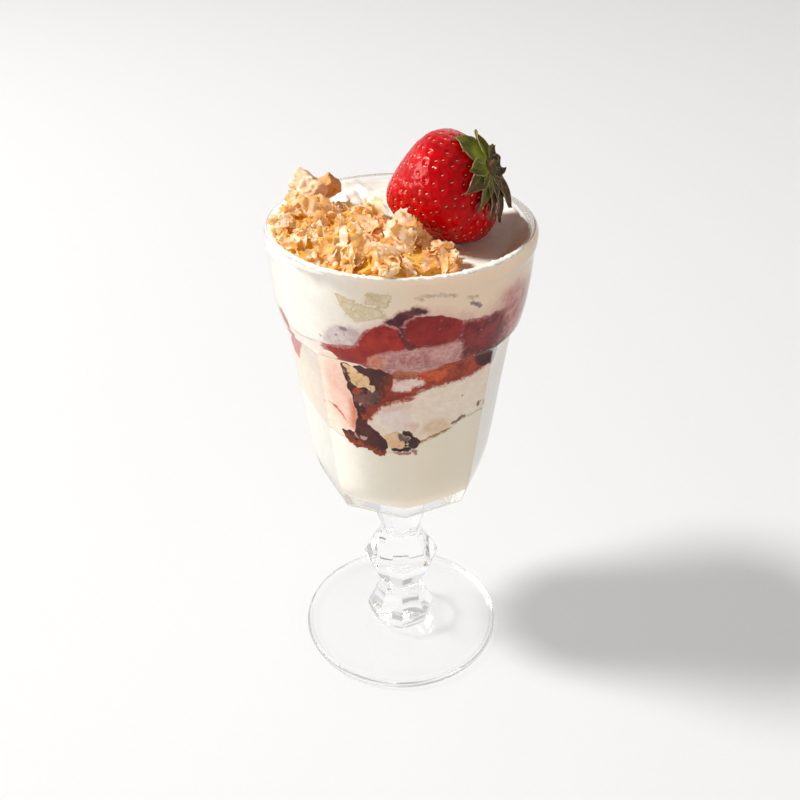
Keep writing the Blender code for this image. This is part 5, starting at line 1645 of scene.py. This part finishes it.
# %% [markdown]
# Pastry crumbs are toasted starch and butter: pale straw where thin and dry, honey gold where the butter
# browned, and brown at a few burnt spots. Thin shards let light through and tint it amber on the way, so a
# part of the shader is translucent, and only that part takes the amber.
# %% Finish of the crumbs
def crumb_finish(name, pale, honey, burnt, through):
    """through is the share of the light that a sheet lets pass."""
    finish, out = new_finish(name)
    place = own_place(finish)
    broad = clouds(finish, place, 330.0, 3.0, 0.6)
    fine = clouds(finish, place, 1400.0, 4.0, 0.7)
    patchy = ramp(finish, broad, 0.34, 0.66, 0.5)
    share = math_node(finish, "MULTIPLY_ADD", stored(finish, "tone"), 0.5, patchy)
    colour = blend(finish, ramp(finish, share, 0.25, 0.9), pale, honey)
    colour = blend(finish, ramp(finish, share, 0.84, 1.0, 0.6), colour, burnt)
    bump = add(finish, "Bump", Strength=0.25, Distance=0.2 * MM, Height=fine)
    body = add(finish, "BsdfPrincipled", Base_Color=colour, Roughness=0.5, Specular_IOR_Level=0.25,
               Normal=bump.outputs[0])
    amber = blend(finish, 1.0, colour, "#FFE286", "MULTIPLY")
    glow = add(finish, "BsdfTranslucent", Color=amber, Normal=bump.outputs[0])
    mix = add(finish, "MixShader", _0=through, _1=body.outputs[0], _2=glow.outputs[0])
    return complete(finish, out, mix)


golden = crumb_finish("toasted flaky pastry", "#FFFCF0", "#FFDC9A", "#CC8A44", 0.4)
grainy = crumb_finish("toasted pastry grains", "#FFEEC0", "#FACA70", "#D0923C", 0.0)
# The core is a deeper gold than the flakes: painted shade for the gaps between them, where it shows.
packed = baked_finish("pastry crumbs, deeper gold as painted shade in gaps", "#F8C460", "#E8A63C", "#C27C2A", 700.0)
core = finish_piece(build_heap_core(), packed)
LUMPS = [
    (0.6, -19.0, 167.4, 5.0, 26), (11.5, -24.5, 163.4, 3.6, 15), (14.0, -27.0, 162.4, 2.8, 8),
    (-34.2, 1.5, 164.4, 2.4, 9), (-34.0, -5.0, 164.6, 2.4, 9), (-31.5, 7.5, 167.0, 3.0, 10),
    (-30.2, 5.5, 165.8, 3.4, 12), (-24.6, 6.8, 165.6, 3.4, 12), (-27.5, 3.0, 164.5, 3.6, 10),
]
FANS = [
    (5.4, -20, 4.4, 75, 5, 2.0), (13.6, -28, 2.6, 40, 5, 2.4), (-11, -26, 5.0, -35, 9, 3.6),
    (-15, -29, 3.8, 10, 6, 3.0), (-3, -32, 4.6, 30, 6, 2.6), (-17, -7, 4.8, 0, 6, 3.0),
    (-11, -12, 5.0, 45, 6, 3.0), (-20, -22, 3.8, -20, 6, 3.0), (-28, -10, 3.8, 30, 6, 3.0),
    (-8, 8, 3.0, 60, 6, 3.0),
]
OVERHANG = [(-4.8, -38.2, 165.3, 0.9, 8), (-1.5, -37.6, 165.2, 0.7, 5), (-37.4, -5.5, 165.4, 0.8, 6)]
hero_flakes = scatter("fluted_flakes", fine_shards, 250, (4.6, 8.4), 0.5, (-1.4, -0.2), 17, 0.96, FANS, LUMPS)
large_flakes = scatter("large_flakes", shards, 260, (2.8, 5.0), 0.55, (-1.3, 0.2), 31, 1.0, (), OVERHANG)
small_flakes = scatter("small_flakes", small_shards, 220, (1.3, 2.8), 0.6, (-1.5, 0.2), 47, 1.02)
fine_grains = scatter("fine_grains", grains, 120, (0.5, 1.2), 0.8, (-0.9, 0.4), 53, 1.03)
for piece in (hero_flakes, large_flakes, small_flakes):
    finish_piece(piece, golden)
finish_piece(fine_grains, grainy)
for piece in (core, hero_flakes, large_flakes, small_flakes, fine_grains):
    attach(piece, "root")
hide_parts("crumble")

# %% [markdown]
# ## The big chunk
# One piece of the biscuit broke off whole. Its inner face is pale, dry and pitted, and a smooth baked side
# shows behind it. Both are cubes, bevelled and subdivided. The first is roughened all over, the second
# hardly.
# %% Chunk
def build_block(name, size, turn, centre, crag, pits, cuts):
    """A cube of this size in mm, turned and roughened. crag and pits are how far, in mm."""
    tilt, roll, heading = turn
    turn = Matrix.Rotation(heading, 3, "Z") @ Matrix.Rotation(tilt, 3, "X") @ Matrix.Rotation(roll, 3, "Y")
    select_only()
    bpy.ops.mesh.primitive_cube_add(size=1.0)
    piece = bpy.context.object
    piece.name = piece.data.name = name
    bpy.ops.object.mode_set(mode="EDIT")
    bpy.ops.mesh.select_all(action="SELECT")
    bpy.ops.mesh.bevel(offset=0.07, segments=2, affect="EDGES")
    bpy.ops.mesh.subdivide(number_cuts=cuts)
    bpy.ops.object.mode_set(mode="OBJECT")
    for vertex in piece.data.vertices:
        own = Vector(a * b for a, b in zip(vertex.co, size))
        broad = noise.noise(own * 0.28 + Vector((4.0, 1.0, 7.0))) + 0.6 * noise.noise(own * 0.6)
        fine = noise.noise(own * 1.5) + 0.7 * noise.noise(own * 3.2)
        fine -= 0.5 * max(noise.noise(own * 1.1), 0) ** 0.5
        own += own.normalized() * (crag * broad + pits * fine)
        vertex.co = (turn @ own + centre) * MM
    return piece


chunk = build_block("broken_biscuit", CHUNK_SIZE, CHUNK_TURN, CHUNK_CENTRE, 1.0, 0.45, 16)
slab = build_block("baked_side", SLAB_SIZE, SLAB_TURN, SLAB_CENTRE, 0.5, 0.12, 8)
finish_piece(chunk, baked_finish("broken face of a biscuit", "#FFE8CC", "#FAD4A8", "#D9A27A", 1000.0))
finish_piece(slab, baked_finish("baked side of a biscuit", "#EDB878", "#D89850", "#B87438", 500.0))
for piece in (chunk, slab):
    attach(piece, "root")
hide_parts("biscuit_chunk")
